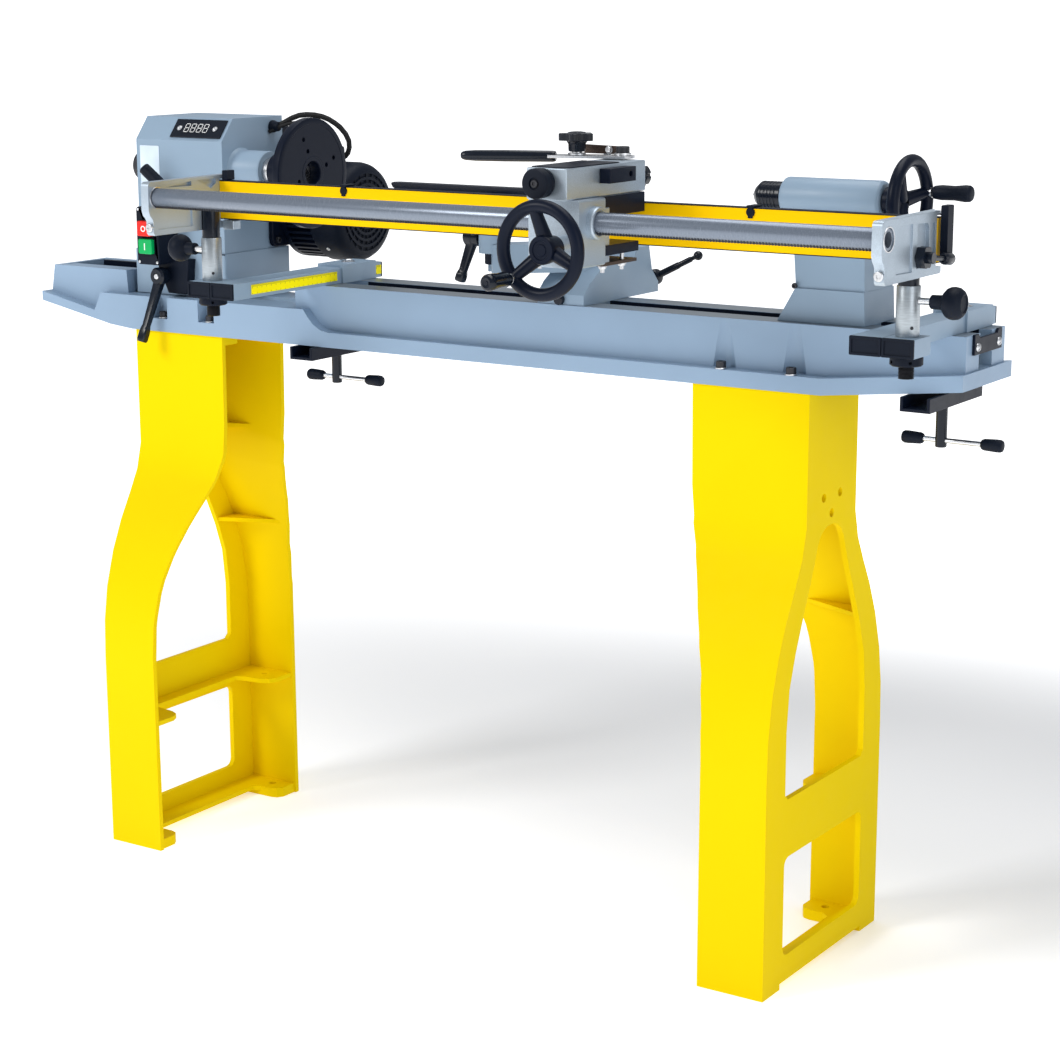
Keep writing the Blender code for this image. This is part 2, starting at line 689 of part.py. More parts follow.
def make_carriage():
    block = prism("Y", rounded(335, 405, 945, 1024, 3), -364, -306)
    ring = rod("X", TUBE_Y, TUBE_Z, 330, 411, 19, 32)
    boss = rod("Y", PINION_X, PINION_Z, -390, -358, 13, 24)
    shelf = box(344, 397, -310, -215, 1010, 1024)
    cuts = [
        rod("X", TUBE_Y, TUBE_Z, 325, 425, TUBE_R + 0.4, 28),
        box(PINION_X - 13.5, PINION_X + 13.5, -345, -315, 940, 996),
        rod("Y", PINION_X, PINION_Z, -395, -335, 5.4, 16),
    ]
    node("carriage", [block, ring, boss, shelf], cuts)
    gear = []
    for k in range(14):
        a = 2 * math.pi * k / 14
        for r, lean in ((9.4, -0.35), (12, -0.15), (12, 0.15), (9.4, 0.35)):
            b = a + lean * 2 * math.pi / 14
            gear.append((PINION_X + r * math.cos(b), PINION_Z + r * math.sin(b)))
    core = [rod("Y", PINION_X, PINION_Z, -400, -318, 5, 16), prism("Y", gear, -342, -319)]
    hub = rod("Y", PINION_X, PINION_Z, -410, -390.5, 15, 28)
    make_wheel("carriage_handwheel", "Y", -420, PINION_X, PINION_Z, 50.5, 7.8, hub, (100, 222, 340), 19, core)
    a = math.radians(222)
    start = (PINION_X + 50.5 * math.cos(a), 0, PINION_Z + 50.5 * math.sin(a))
    grip = (
        (428.6, 0), (428.6, 4), (432, 4), (432, 8), (438, 9.4), (452, 8.8), (466, 10), (473, 9.4),
        (476, 6), (476, 0),
    )
    node("carriage_handle", [spin(start, (0, -1, 0), grip, 20)])


def make_top_slide():
    body = prism("Y", rounded(343, 398, 1024 + GAP, 1061, 2), -380, -203)
    node("top_slide", [body], [rod("Z", 372, -213, 1050, 1070, 4.4, 16)])
    front = ((0, 0), (0, 16.5), (2, 17.6), (17, 17.6), (19, 16), (19, 7), (17, 6), (17, 0))
    node("feed_knob", [spin((366, -380 - GAP, 1044), (0, -1, 0), front, 28)])
    back = ((0, 0), (0, 6), (4, 6), (4, 14), (6, 14.5), (13, 14.5), (15, 12.5), (15, 0))
    node("rear_knob", [spin((383, -203 + GAP, 1041), (0, 1, 0), back, 24)])
    outline = ((381, -222), (384, -208), (372, -200), (238, -252), (244, -274), (330, -243))
    blade = prism("Z", outline, 1062.6, 1066)
    pin = rod("Z", 372, -213, 1052, 1072, 4, 16)
    cap = rod("Z", 372, -213, 1069.5, 1076.5, 9, 20)
    profile = ((0, 6), (6, 6.8), (60, 6.8), (100, 6.4), (112, 5.6), (118, 3.5))
    grip = spin((296, -243, 1063.5), (-0.93, -0.367, 0), profile, 14)
    node("feed_lever", [blade, pin, cap, grip], [rod("Z", 320, -234, 1050, 1085, 5.3, 16)])
    star = []
    for k in range(30):
        a = 2 * math.pi * k / 30
        r = 19 + 3 * math.cos(5 * a)
        star.append((320 + r * math.cos(a), -234 + r * math.sin(a)))
    top = prism("Z", star, 1083, 1093)
    crown = rod("Z", 320, -234, 1091, 1094, 10, 20)
    turned = ((1062.5, 0), (1062.5, 5), (1072, 5), (1072, 10), (1084, 9), (1084, 0))
    stem = spin((320, -234, 0), (0, 0, 1), turned, 20)
    node("star_knob", [top, crown, stem])


def make_bed_clamp(side, x, top):
    low = top - 18
    profile = (
        (x - 19.5, low), (x + 19.5, low), (x + 19.5, top), (x + 15.5, top), (x + 15.5, low + 4),
        (x - 15.5, low + 4), (x - 15.5, top), (x - 19.5, top),
    )
    node("clamp_channel_" + side, [prism("Y", profile, -92, 68)], [rod("Z", x, CLAMP_Y, low - 5, low + 8, 7, 16)])
    screw = rod("Z", x, CLAMP_Y, 715, 866, 5.2, 16)
    hub = rod("Z", x, CLAMP_Y, 711, low - GAP, 7.2, 20)
    bar = rod("X", CLAMP_Y, 719.5, x - 47, x + 77, 3.2, 12)
    grips = []
    for s in (-1, 1):
        profile = ((39, 3.2), (41, 7), (60, 8), (66, 6))
        grips.append(spin((x + 15, CLAMP_Y, 719.5), (s, 0, 0), profile, 16))
    node("clamp_screw_" + side, [screw, hub, bar] + grips)


def build():
    clear_scene()
    make_bed()
    make_legs()
    make_headstock()
    make_switches()
    make_head_levers()
    make_spindle()
    make_motor()
    make_belt()
    make_cable()
    make_tailstock()
    make_tail_wheel()
    make_clamp("tail_clamp", 560)
    make_back_lever("tail_lever", 566, 43 + GAP, 890, (640, 54, 918))
    make_banjo()
    make_clamp("banjo_clamp", BANJO_X)
    make_back_lever("banjo_lever", 208, 136 + GAP, 874, (292, 147, 905))
    make_tool_rest()
    make_bar("bar_left", -246.6, -207.6, -286.6, -247.6, POST_L, -228)
    make_bar("bar_right", 699.5, 738.5, 739.5, 778.5, POST_R, 707.5)
    make_post_set("left", POST_L, -1)
    make_post_set("right", POST_R, 1)
    make_gantry()
    make_carriage()
    make_top_slide()
    make_bed_clamp("left", -228, BED_BOTTOM - GAP)
    make_bed_clamp("right", 707.5, 783.4)


build()
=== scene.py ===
"""Scene of a wood turning lathe with a copy attachment: the CAD pieces get rounded edges and real finishes,
and the small fittings (screws, rulers, caps, rack, display, bolts) are built here.

Sizes are in machine millimetres about the spindle line, as P() turns them into the frame's metres.
"""

from math import copysign, cos, pi, radians, sin

import bmesh
import bpy
from mathutils import Matrix, Vector
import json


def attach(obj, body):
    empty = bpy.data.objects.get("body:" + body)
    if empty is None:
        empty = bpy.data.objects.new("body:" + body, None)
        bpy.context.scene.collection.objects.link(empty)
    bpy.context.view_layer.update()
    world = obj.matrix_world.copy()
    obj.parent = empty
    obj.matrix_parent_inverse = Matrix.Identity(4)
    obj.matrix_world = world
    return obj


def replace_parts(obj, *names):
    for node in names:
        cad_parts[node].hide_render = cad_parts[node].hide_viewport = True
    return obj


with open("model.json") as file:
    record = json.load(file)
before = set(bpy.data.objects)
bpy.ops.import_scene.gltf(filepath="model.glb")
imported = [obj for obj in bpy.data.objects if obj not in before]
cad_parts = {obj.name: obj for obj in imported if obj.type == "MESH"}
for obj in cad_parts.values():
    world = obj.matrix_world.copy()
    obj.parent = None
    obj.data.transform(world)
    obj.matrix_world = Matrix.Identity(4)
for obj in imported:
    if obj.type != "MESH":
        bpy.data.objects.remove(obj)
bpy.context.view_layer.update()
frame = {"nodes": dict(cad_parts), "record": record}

MM = 0.001
CORNER_STEPS = 6
ORIGIN_X = 42.75
ORIGIN_Y = -129.0
AXIS_Z = 1007.0
SPINDLE = (0, 0, AXIS_Z)
TUBE = (0, -330, 996)
RIGHT = (1, 0, 0)
FRONT = (0, -1, 0)
UP = (0, 0, 1)
MOTOR = (0, 145, 940)
TAIL_GRIP = (0, 49.2, AXIS_Z + 8.7)
POST_L = -264.5
POST_R = 758.5
POST_Y = -232
PANEL_COS = 0.6306
PANEL_SIN = 0.7761
CLAMP_Y = -10
BODIES = frame["record"]["behaviour"]["bodies"]
BODY_OF = {node: body for body, nodes in BODIES.items() for node in nodes}


def P(x, y, z):
    """A point of the machine as a vector in the frame."""
    return Vector(((x - ORIGIN_X) * MM, (y - ORIGIN_Y) * MM, z * MM))


# --- materials ---


def new_node(tree, kind, values=()):
    """A shader node, with the values of some of its inputs."""
    node = tree.nodes.new("ShaderNode" + kind)
    for name, value in dict(values).items():
        node.inputs[name].default_value = value
    return node


def surface(name, color, roughness, metallic=0.0, coat=0.0, specular=0.5):
    """A material with a Principled shader, and its node tree for more detail."""
    mat = bpy.data.materials.new(name)
    mat.use_nodes = True
    shader = mat.node_tree.nodes["Principled BSDF"]
    for socket, value in (
        ("Base Color", (*color, 1)), ("Roughness", roughness), ("Metallic", metallic),
        ("Coat Weight", coat), ("Coat Roughness", 0.12), ("Specular IOR Level", specular),
    ):
        shader.inputs[socket].default_value = value
    return mat, mat.node_tree, shader


def coordinates(tree, scale):
    """Object coordinates, stretched by scale along X, Y and Z."""
    coord = new_node(tree, "TexCoord")
    mapping = new_node(tree, "Mapping", {"Scale": scale})
    tree.links.new(coord.outputs["Object"], mapping.inputs["Vector"])
    return mapping.outputs["Vector"]


def noise(tree, scale, detail=2.0, stretch=(1, 1, 1), rough=0.5):
    node = new_node(tree, "TexNoise", {"Scale": scale, "Detail": detail, "Roughness": rough})
    tree.links.new(coordinates(tree, stretch), node.inputs["Vector"])
    return node.outputs["Fac"]


def ramp(tree, value, stops):
    node = new_node(tree, "ValToRGB")
    elements = node.color_ramp.elements
    for element, (position, color) in zip(elements, (stops[0], stops[-1])):
        element.position = position
        element.color = (*color, 1)
    for position, color in stops[1:-1]:
        elements.new(position).color = (*color, 1)
    tree.links.new(value, node.inputs["Fac"])
    return node.outputs["Color"]


def spread(tree, value, low, high):
    node = new_node(tree, "MapRange", {"To Min": low, "To Max": high})
    tree.links.new(value, node.inputs["Value"])
    return node.outputs["Result"]


def uneven_gloss(tree, shader, scale, roughness, below=0.06):
    """Roughness that wanders a little about its middle value."""
    value = spread(tree, noise(tree, scale, 3), roughness - below, roughness + 0.1)
    tree.links.new(value, shader.inputs["Roughness"])


def tint(tree, shader, value, color, low, high):
    """The base colour, darker where value is low and lighter where it is high; each is (position, factor)."""
    stops = ((low[0], shade(color, low[1])), (high[0], shade(color, high[1])))
    tree.links.new(ramp(tree, value, stops), shader.inputs["Base Color"])


def math_node(tree, operation, first, second=None, factor=None):
    node = new_node(tree, "Math")
    node.operation = operation
    tree.links.new(first, node.inputs[0])
    if second is None:
        node.inputs[1].default_value = factor
    else:
        tree.links.new(second, node.inputs[1])
    return node.outputs[0]


def bump(tree, shader, heights, distance):
    """One bump from the sum of several heights, each (value, weight)."""
    total = None
    for value, weight in heights:
        part = math_node(tree, "MULTIPLY", value, factor=weight)
        total = part if total is None else math_node(tree, "ADD", total, part)
    node = new_node(tree, "Bump", {"Strength": 1.0, "Distance": distance})
    tree.links.new(total, node.inputs["Height"])
    tree.links.new(node.outputs["Normal"], shader.inputs["Normal"])


def shade(color, factor):
    return tuple(min(1.0, c * factor) for c in color)


def paint(name, color, roughness=0.38, grain=0.00004, coat=0.0, mottle=0.05, specular=0.3):
    """Sprayed paint on a casting: orange peel, a slow wave in the metal and slightly uneven gloss."""
    mat, tree, shader = surface(name, color, roughness, coat=coat, specular=specular)
    tint(tree, shader, noise(tree, 7, 3), color, (0.25, 1 - mottle), (0.75, 1 + mottle))
    uneven_gloss(tree, shader, 60, roughness, 0.08)
    peel = ((noise(tree, 420, 2), 1.0), (noise(tree, 1300, 2), 0.5), (noise(tree, 25, 2), 2.0))
    bump(tree, shader, peel, grain)
    return mat


def cast_metal(name, color):
    """Bead-blasted aluminium: metallic grains under a fine rough skin."""
    mat, tree, shader = surface(name, color, 0.42, metallic=0.75)
    grains = noise(tree, 900, 3, rough=0.7)
    stops = ((0.3, shade(color, 0.82)), (0.55, color), (0.75, shade(color, 1.18)))
    tree.links.new(ramp(tree, grains, stops), shader.inputs["Base Color"])
    uneven_gloss(tree, shader, 40, 0.42)
    bump(tree, shader, ((grains, 1.0), (noise(tree, 150, 2), 0.8)), 0.00006)
    return mat


def machined(name, color, roughness=0.25, stretch=(1, 1, 1), scale=300, metallic=1.0):
    """Ground or turned steel, with fine lines across the stretched direction."""
    mat, tree, shader = surface(name, color, roughness, metallic=metallic)
    lines = noise(tree, scale, 3, stretch, 0.6)
    tint(tree, shader, lines, color, (0.3, 0.85), (0.7, 1.1))
    tree.links.new(spread(tree, lines, roughness - 0.06, roughness + 0.1), shader.inputs["Roughness"])
    bump(tree, shader, ((lines, 1.0),), 0.00002)
    return mat


def plastic(name, color, roughness=0.45, grain=0.00005, scale=1100, specular=0.22):
    """Moulded plastic with an eroded grain."""
    mat, tree, shader = surface(name, color, roughness, specular=specular)
    cells = new_node(tree, "TexVoronoi", {"Scale": scale})
    tree.links.new(coordinates(tree, (1, 1, 1)), cells.inputs["Vector"])
    uneven_gloss(tree, shader, 45, roughness, 0.07)
    tint(tree, shader, noise(tree, 18, 2), color, (0.2, 0.85), (0.8, 1.2))
    bump(tree, shader, ((cells.outputs["Distance"], 1.0), (noise(tree, 300, 2), 0.6)), grain)
    return mat


BLUE_GREY = (0.245, 0.345, 0.47)
CASTING = (0.24, 0.33, 0.43)
YELLOW = (0.83, 0.605, 0.0)

M = {
    "bed": paint("bed_paint", BLUE_GREY), "head": paint("head_paint", CASTING),
    "leg": paint("leg_paint", YELLOW, 0.5, 0.00003, 0.0, 0.012, 0.03),
    "rail": paint("rail_paint", (0.90, 0.53, 0.0), 0.45, 0.00001, 0.0, 0.01, 0.05),
    "casting": paint("casting_paint", CASTING), "cast": cast_metal("cast_aluminium", (0.42, 0.49, 0.56)),
    "post": machined("zinc_sleeve", (0.40, 0.44, 0.47), 0.36, (1, 1, 12), 90, 0.8),
    "tube": machined("tube_steel", (0.17, 0.20, 0.25), 0.24, (60, 1, 1), 160, 0.4),
    "turned": machined("turned_steel", (0.62, 0.63, 0.65), 0.25, (30, 1, 1), 60),
    "steel": machined("bright_steel", (0.63, 0.64, 0.66), 0.28, (1, 1, 1), 500),
    "ground": machined("ground_ways", (0.30, 0.34, 0.38), 0.4, (1, 40, 1), 60),
    "black": plastic("black_plastic", (0.003, 0.006, 0.014), 0.5, specular=0.14),
    "gloss": plastic("gloss_plastic", (0.003, 0.006, 0.013), 0.22, 0.00001, 600, 0.3),
    "iron": paint("black_iron", (0.003, 0.006, 0.016), 0.36, 0.00003, 0.0, 0.1, 0.13),
    "oxide": machined("black_oxide", (0.035, 0.036, 0.042), 0.4, (1, 1, 1), 400, 0.6),
    "rubber": plastic("belt_rubber", (0.015, 0.015, 0.016), 0.7),
    "red": plastic("stop_red", (0.72, 0.02, 0.015), 0.3, 0.00001),
    "green": plastic("start_green", (0.0, 0.36, 0.09), 0.3, 0.00001),
    "white": plastic("white_mark", (0.85, 0.85, 0.83), 0.4, 0.00001),
    "label": plastic("pale_label", (0.62, 0.72, 0.82), 0.35, 0.00001),
    # The ruler's own yellow, lifted to full brightness to make up for the shade on its side face: partly the
    # real colour, partly painted light.
    "ruler": paint("ruler_yellow_lifted_against_shade", (1.0, 0.86, 0.0), 0.45, 0.00001, 0.0, 0.01, 0.1),
    "brown": machined("tool_steel", (0.07, 0.045, 0.035), 0.45, (1, 1, 1), 300, 0.5),
}


# --- shapes ---


def shape(points, faces):
    mesh = bpy.data.meshes.new("shape")
    mesh.from_pydata([P(*p) for p in points], [], faces)
    clean(mesh)
    obj = bpy.data.objects.new("shape", mesh)
    bpy.context.scene.collection.objects.link(obj)
    return obj


def clean(mesh):
    bm = bmesh.new()
    bm.from_mesh(mesh)
    bmesh.ops.remove_doubles(bm, verts=bm.verts, dist=2e-6)
    bmesh.ops.dissolve_degenerate(bm, edges=bm.edges, dist=2e-6)
    bmesh.ops.recalc_face_normals(bm, faces=bm.faces)
    bm.to_mesh(mesh)
    bm.free()


def place(axis, t, u, v):
    """A point at t along the axis, with the two other coordinates in alphabetical order."""
    if axis == "X":
        return (t, u, v)
    if axis == "Y":
        return (u, t, v)
    return (u, v, t)


def prism(axis, outline, low, high):
    n = len(outline)
    points = [place(axis, low, u, v) for u, v in outline]
    points += [place(axis, high, u, v) for u, v in outline]
    faces = [list(range(n)), list(range(n, 2 * n))]
    faces += [[i, (i + 1) % n, n + (i + 1) % n, n + i] for i in range(n)]
    return shape(points, faces)


def box(x0, x1, y0, y1, z0, z1):
    return prism("Z", ((x0, y0), (x1, y0), (x1, y1), (x0, y1)), z0, z1)


def spin(start, direction, profile, n=48, closed=False):
    """A solid of revolution: profile holds (distance along direction, radius)."""
    d = Vector(direction).normalized()
    if abs(d.z) < 1e-6:
        side = Vector((0, 0, 1))
    elif abs(d.z) > 0.99:
        side = d.orthogonal().normalized()
    else:
        side = d.cross(Vector((0, 0, 1))).normalized()
    other = d.cross(side)
    base = Vector(start)
    points = []
    rows = []
    for t, r in profile:
        if r == 0:
            rows.append([len(points)])
            points.append(tuple(base + d * t))
            continue
        rows.append(list(range(len(points), len(points) + n)))
        for i in range(n):
            a = 2 * pi * i / n
            points.append(tuple(base + d * t + (side * cos(a) + other * sin(a)) * r))
    faces = []
    pairs = list(zip(rows, rows[1:]))
    if closed:
        pairs.append((rows[-1], rows[0]))
    for a, b in pairs:
        for i in range(n):
            j = (i + 1) % n
            if len(a) == 1:
                faces.append([a[0], b[i], b[j]])
            elif len(b) == 1:
                faces.append([a[i], a[j], b[0]])
            else:
                faces.append([a[i], a[j], b[j], b[i]])
    if not closed:
        for row in (rows[0], rows[-1]):
            if len(row) > 1:
                faces.append(row)
    return shape(points, faces)


def ring(start, direction, profile, n=48):
    """A turned piece with a bore, whose profile is a closed loop."""
    return spin(start, direction, profile, n, True)


def lathe(start, direction, profile, n=48):
    """A turned piece whose two flat ends close on the axis."""
    return spin(start, direction, ((profile[0][0], 0), *profile, (profile[-1][0], 0)), n)


def rod(axis, u, v, low, high, r, n=40, inner=0.0):
    start = place(axis, 0, u, v)
    direction = place(axis, 1, 0, 0)
    if inner:
        return ring(start, direction, ((low, inner), (low, r), (high, r), (high, inner)), n)
    return spin(start, direction, ((low, r), (high, r)), n)


def between(p, q, r0, r1, n=24):
    p = Vector(p)
    q = Vector(q)
    return spin(p, q - p, ((0, r0), ((q - p).length, r1)), n)


def rounded(u0, u1, v0, v1, r):
    """The outline of a rectangle with rounded corners."""
    points = []
    for cu, cv, a0 in (
        (u1 - r, v0 + r, -90), (u1 - r, v1 - r, 0), (u0 + r, v1 - r, 90), (u0 + r, v0 + r, 180),
    ):
        for i in range(CORNER_STEPS + 1):
            a = radians(a0 + 90 * i / CORNER_STEPS)
            points.append((cu + r * cos(a), cv + r * sin(a)))
    return points


def toothed(u, v, count, corners):
    """The outline of a toothed wheel: each tooth's corners are (radius, share of the pitch)."""
    points = []
    for k in range(count):
        for r, share in corners:
            a = 2 * pi * (k + share) / count
            points.append((u + r * cos(a), v + r * sin(a)))
    return points


def around(u, v, count, radius):
    """An outline round a centre, whose radius depends on the point's number."""
    return toothed(u, v, 1, [(radius(k), k / count) for k in range(count)])


def torus(axis, t, u, v, big, small):
    profile = toothed(t, big, 24, ((small, 0),))
    return ring(place(axis, 0, u, v), place(axis, 1, 0, 0), profile, 96)


def combine(target, tools, operation):
    for tool in tools:
        modifier = target.modifiers.new("step", "BOOLEAN")
        modifier.operation = operation
        modifier.solver = "EXACT"
        modifier.object = tool
        graph = bpy.context.evaluated_depsgraph_get()
        mesh = bpy.data.meshes.new_from_object(target.evaluated_get(graph))
        target.modifiers.clear()
        old = target.data
        target.data = mesh
        bpy.data.meshes.remove(old)
        bpy.data.objects.remove(tool)
    clean(target.data)
    return target


def cut(target, *tools):
    return combine(target, tools, "DIFFERENCE")


def weld(target, *tools):
    return combine(target, tools, "UNION")


def join(first, *others):
    """Several loose shapes as one object, without a Boolean."""
    bm = bmesh.new()
    for obj in (first, *others):
        bm.from_mesh(obj.data)
    bm.to_mesh(first.data)
    bm.free()
    for obj in others:
        bpy.data.objects.remove(obj)
    return first


def smooth(obj, angle=30.0):
    mesh = obj.data
    bm = bmesh.new()
    bm.from_mesh(mesh)
    for face in bm.faces:
        face.smooth = True
    for edge in bm.edges:
        edge.smooth = edge.calc_face_angle(pi) < radians(angle)
    bm.to_mesh(mesh)
    bm.free()


def piece(name, obj, mat, body, bevel=0.0, segments=3, angle=30.0):
    """Names a shape, rounds its edges, gives it a finish and lets it ride on its body."""
    obj.name = name
    obj.data.name = name
    obj.data.materials.clear()
    obj.data.materials.append(M[mat])
    smooth(obj, angle)
    if bevel:
        modifier = obj.modifiers.new("edges", "BEVEL")
        modifier.width = bevel * MM
        modifier.segments = segments
        modifier.limit_method = "ANGLE"
        modifier.angle_limit = radians(angle)
        modifier.harden_normals = True
        modifier.use_clamp_overlap = True
        modifier.miter_outer = "MITER_ARC"
    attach(obj, body)
    return obj


def stand_in(node, *args, **options):
    """A piece that is shown in place of a CAD node."""
    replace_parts(piece(*args, **options), node)


def refine(node, mat, bevel):
    """A copy of a CAD node's shape with rounded edges, which stands for that node."""
    mesh = frame["nodes"][node].data.copy()
    bm = bmesh.new()
    bm.from_mesh(mesh)
    bmesh.ops.remove_doubles(bm, verts=bm.verts, dist=4e-6)
    bmesh.ops.dissolve_limit(
        bm, angle_limit=radians(0.6), use_dissolve_boundaries=False, verts=bm.verts, edges=bm.edges,
    )
    bmesh.ops.recalc_face_normals(bm, faces=bm.faces)
    bm.to_mesh(mesh)
    bm.free()
    if mesh.has_custom_normals:
        mesh.attributes.remove(mesh.attributes["custom_normal"])
    obj = bpy.data.objects.new(node + "_body", mesh)
    bpy.context.scene.collection.objects.link(obj)
    piece(node + "_shell", obj, mat, BODY_OF[node], bevel)
    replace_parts(obj, node)
    return obj


def keep(node, mat):
    """A CAD node that shows as it is, with its real finish."""
    obj = frame["nodes"][node]
    obj.data.materials.clear()
    obj.data.materials.append(M[mat])
    for polygon in obj.data.polygons:
        polygon.material_index = 0
    return obj


# --- CAD pieces ---


def dress_nodes():
    rounded_nodes = (
        ("bed", "bed", 2.2), ("leg_left", "leg", 3.0), ("leg_right", "leg", 3.0),
        ("headstock", "head", 2.5), ("switch_box", "black", 1.2), ("stop_button", "red", 1.6),
        ("start_button", "green", 1.6), ("motor_plate", "iron", 1.5), ("belt_cover", "black", 1.5),
        ("banjo", "casting", 2.5), ("bar_left", "casting", 1.6), ("bar_right", "casting", 1.6),
        ("template_plate", "iron", 0.8), ("carriage", "cast", 1.8), ("top_slide", "cast", 1.4),
        ("clamp_channel_left", "iron", 1.0), ("clamp_channel_right", "iron", 1.0),
    )
    for node, mat, bevel in rounded_nodes:
        refine(node, mat, bevel)
    for node, mat in (
        ("spindle", "turned"), ("front_bearing", "steel"), ("rear_bearing", "steel"),
        ("spindle_pulley", "cast"), ("motor_shaft", "turned"), ("motor_cable", "rubber"),
        ("drive_belt", "rubber"), ("tail_clamp", "oxide"), ("banjo_clamp", "oxide"),
    ):
        keep(node, mat)


# --- small hardware ---


def socket_screw(name, where, direction, r, head, body, mat="oxide", washer=0.0):
    """A cap screw with its round socket and, if it has one, its washer."""
    d = Vector(direction).normalized()
    start = Vector(where)
    low = 1.6 if washer else 0
    top = low + head
    floor = low + head * 0.45
    profile = (
        (low, r * 0.9), (low + 0.3, r), (top - 0.6, r), (top, r * 0.88), (top, r * 0.5), (floor, r * 0.5),
    )
    piece(name, lathe(start, d, profile, 24), mat, body)
    if washer:
        band = lathe(start, d, ((0, washer - 0.3), (0.3, washer), (1.3, washer), (1.6, washer - 0.3)), 32)
        piece(name + "_washer", band, "steel", body)


def hex_bolt(name, where, direction, r, head, body, washer):
    d = Vector(direction).normalized()
    start = Vector(where)
    piece(
        name, lathe(start, d, ((0, r * 0.95), (head - 0.8, r), (head, r * 0.86)), 6), "steel", body, 0.25,
        2,
    )
    piece(name + "_washer", lathe(start, d, ((-0.2, washer), (1.2, washer)), 32), "steel", body)


def dome(name, where, direction, r, height, body, mat="steel"):
    """A round screw head, with a slot across it."""
    d = Vector(direction).normalized()
    profile = [(0, 0), (0, r)]
    for i in range(1, 7):
        a = pi / 2 * i / 6
        profile.append((height * sin(a), r * cos(a) if i < 6 else 0))
    obj = spin(Vector(where), d, profile, 28)
    side = d.orthogonal().normalized()
    other = d.cross(side)
    base = Vector(where) + d * (height * 0.55)
    corners = []
    for t in (0, height):
        for a, b in ((-r, -0.16 * r), (r, -0.16 * r), (r, 0.16 * r), (-r, 0.16 * r)):
            corners.append(tuple(base + d * t + side * a + other * b))
    faces = [[0, 1, 2, 3], [4, 5, 6, 7], [0, 1, 5, 4], [1, 2, 6, 5], [2, 3, 7, 6], [3, 0, 4, 7]]
    cut(obj, shape(corners, faces))
    piece(name, obj, mat, body)


def thread(start, direction, r, length, pitch=1.5, n=20):
    """The ridges of a screw thread, as rings."""
    profile = [(0, 0), (0, r * 0.88)]
    steps = int(length / pitch)
    for i in range(steps):
        profile.append(((i + 0.25) * pitch, r))
        profile.append(((i + 0.75) * pitch, r * 0.88))
    profile += [(length, r * 0.85), (length, 0)]
    return spin(start, direction, profile, n)


def handwheel(name, node, axis, t, u, v, big, small, hub_profile, angles, dish, body, extra=()):
    """A cast handwheel: a round rim, tapering oval spokes and a turned hub."""
    rim = torus(axis, t, u, v, big, small)
    hub = spin(place(axis, 0, u, v), place(axis, 1, 0, 0), hub_profile, 64)
    solids = [hub]
    for a in angles:
        c = cos(radians(a))
        s = sin(radians(a))
        p = place(axis, t + dish, u + 5 * c, v + 5 * s)
        q = place(axis, t, u + big * c, v + big * s)
        solids.append(between(p, q, small * 1.25, small * 0.85, 28))
    whole = weld(rim, *solids, *extra)
    stand_in(node, name, whole, "iron", body, 1.2, 4, 40)
    return whole


def turned(name, node, start, direction, profile, mat, body, n=56, bevel=0.5, cuts=()):
    """A lathe-turned piece in place of a CAD node."""
    obj = spin(start, direction, profile, n)
    if cuts:
        cut(obj, *cuts)
    piece(name, obj, mat, body, bevel)
    if node:
        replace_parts(obj, node)
    return obj


# --- bed ---


def bed_details():
    for side, y0, y1 in (("front", -56.5, -18.6), ("rear", 18.6, 56.5)):
        piece("way_" + side, box(-260, 755, y0, y1, 855.9, 856.12), "ground", "frame", 0.05, 1)
    for index, (x, y, z) in enumerate(
        ((431, 68.5, 793.2), (530, 68.5, 793.2), (-505, 65.5, 791.2), (-416, 65.5, 791.2))
    ):
        for side, sign in (("front", -1), ("rear", 1)):
            name = f"leg_bolt_{index}_{side}"
            socket_screw(name, (x, sign * y, z), UP, 6.5, 8, "frame", washer=8)
    plate = prism(
        "X", ((-42, 832), (41, 832), (41, 857), (30, 857), (26, 852), (-26, 852), (-30, 857), (-42, 857)),
        757.3, 760.8,
    )
    piece("end_stop", plate, "iron", "frame", 0.6)
    for y in (-32, 32):
        dome(f"end_stop_screw_{'a' if y < 0 else 'b'}", (760.8, y, 841), RIGHT, 5.5, 3, "frame")
    # Painted shade: thin black sheets on the back wall and floor of the recess at the bed's left end darken
    # it where shade falls.
    for index, shade_sheet in enumerate(
        (box(-714, -586, 33, 40.6, 823.2, 855.4), box(-714, -586, -22, 33, 823.2, 826))
    ):
        piece(f"recess_painted_shade_{index}", shade_sheet, "iron", "frame", 0.5)
    # Painted shade: a thin black sheet on the rear wall of the slot between the ways darkens it where shade
    # falls.
    piece("slot_painted_shade", box(-190, 740, 17.8, 18.5, 826, 855.5), "iron", "frame")
    piece("recess_ledge", box(-719, -586, -40.8, -22, 823.2, 855.6), "bed", "frame", 1.5)
    piece("slot_stop", box(-32, -16, -17, 17, 836, 845.7), "black", "frame", 1.0)


# --- headstock ---


def panel_point(s, lift):
    """A point on the sloping display face: s along it from its lower edge, lift off its surface."""
    return (-42 + s * PANEL_COS - lift * PANEL_SIN, 1049 + s * PANEL_SIN + lift * PANEL_COS)


def panel_box(x0, x1, s0, s1, l0, l1):
    outline = (panel_point(s0, l0), panel_point(s1, l0), panel_point(s1, l1), panel_point(s0, l1))
    return prism("X", outline, x0, x1)


def digit(x, s, width, height, lift):
    """The seven bars of one numeral of the speed display."""
    t = 0.85
    bars = []
    half = height / 2
    for s0 in (0, half, height):
        bars.append((x + t * 0.7, x + width - t * 0.7, s + s0 - t / 2, s + s0 + t / 2))
    for x0 in (0, width):
        for s0 in (0, half):
            bars.append((x + x0 - t / 2, x + x0 + t / 2, s + s0 + t * 0.7, s + s0 + half - t * 0.7))
    return [panel_box(a, b, c, d, lift, lift + 0.25) for a, b, c, d in bars]


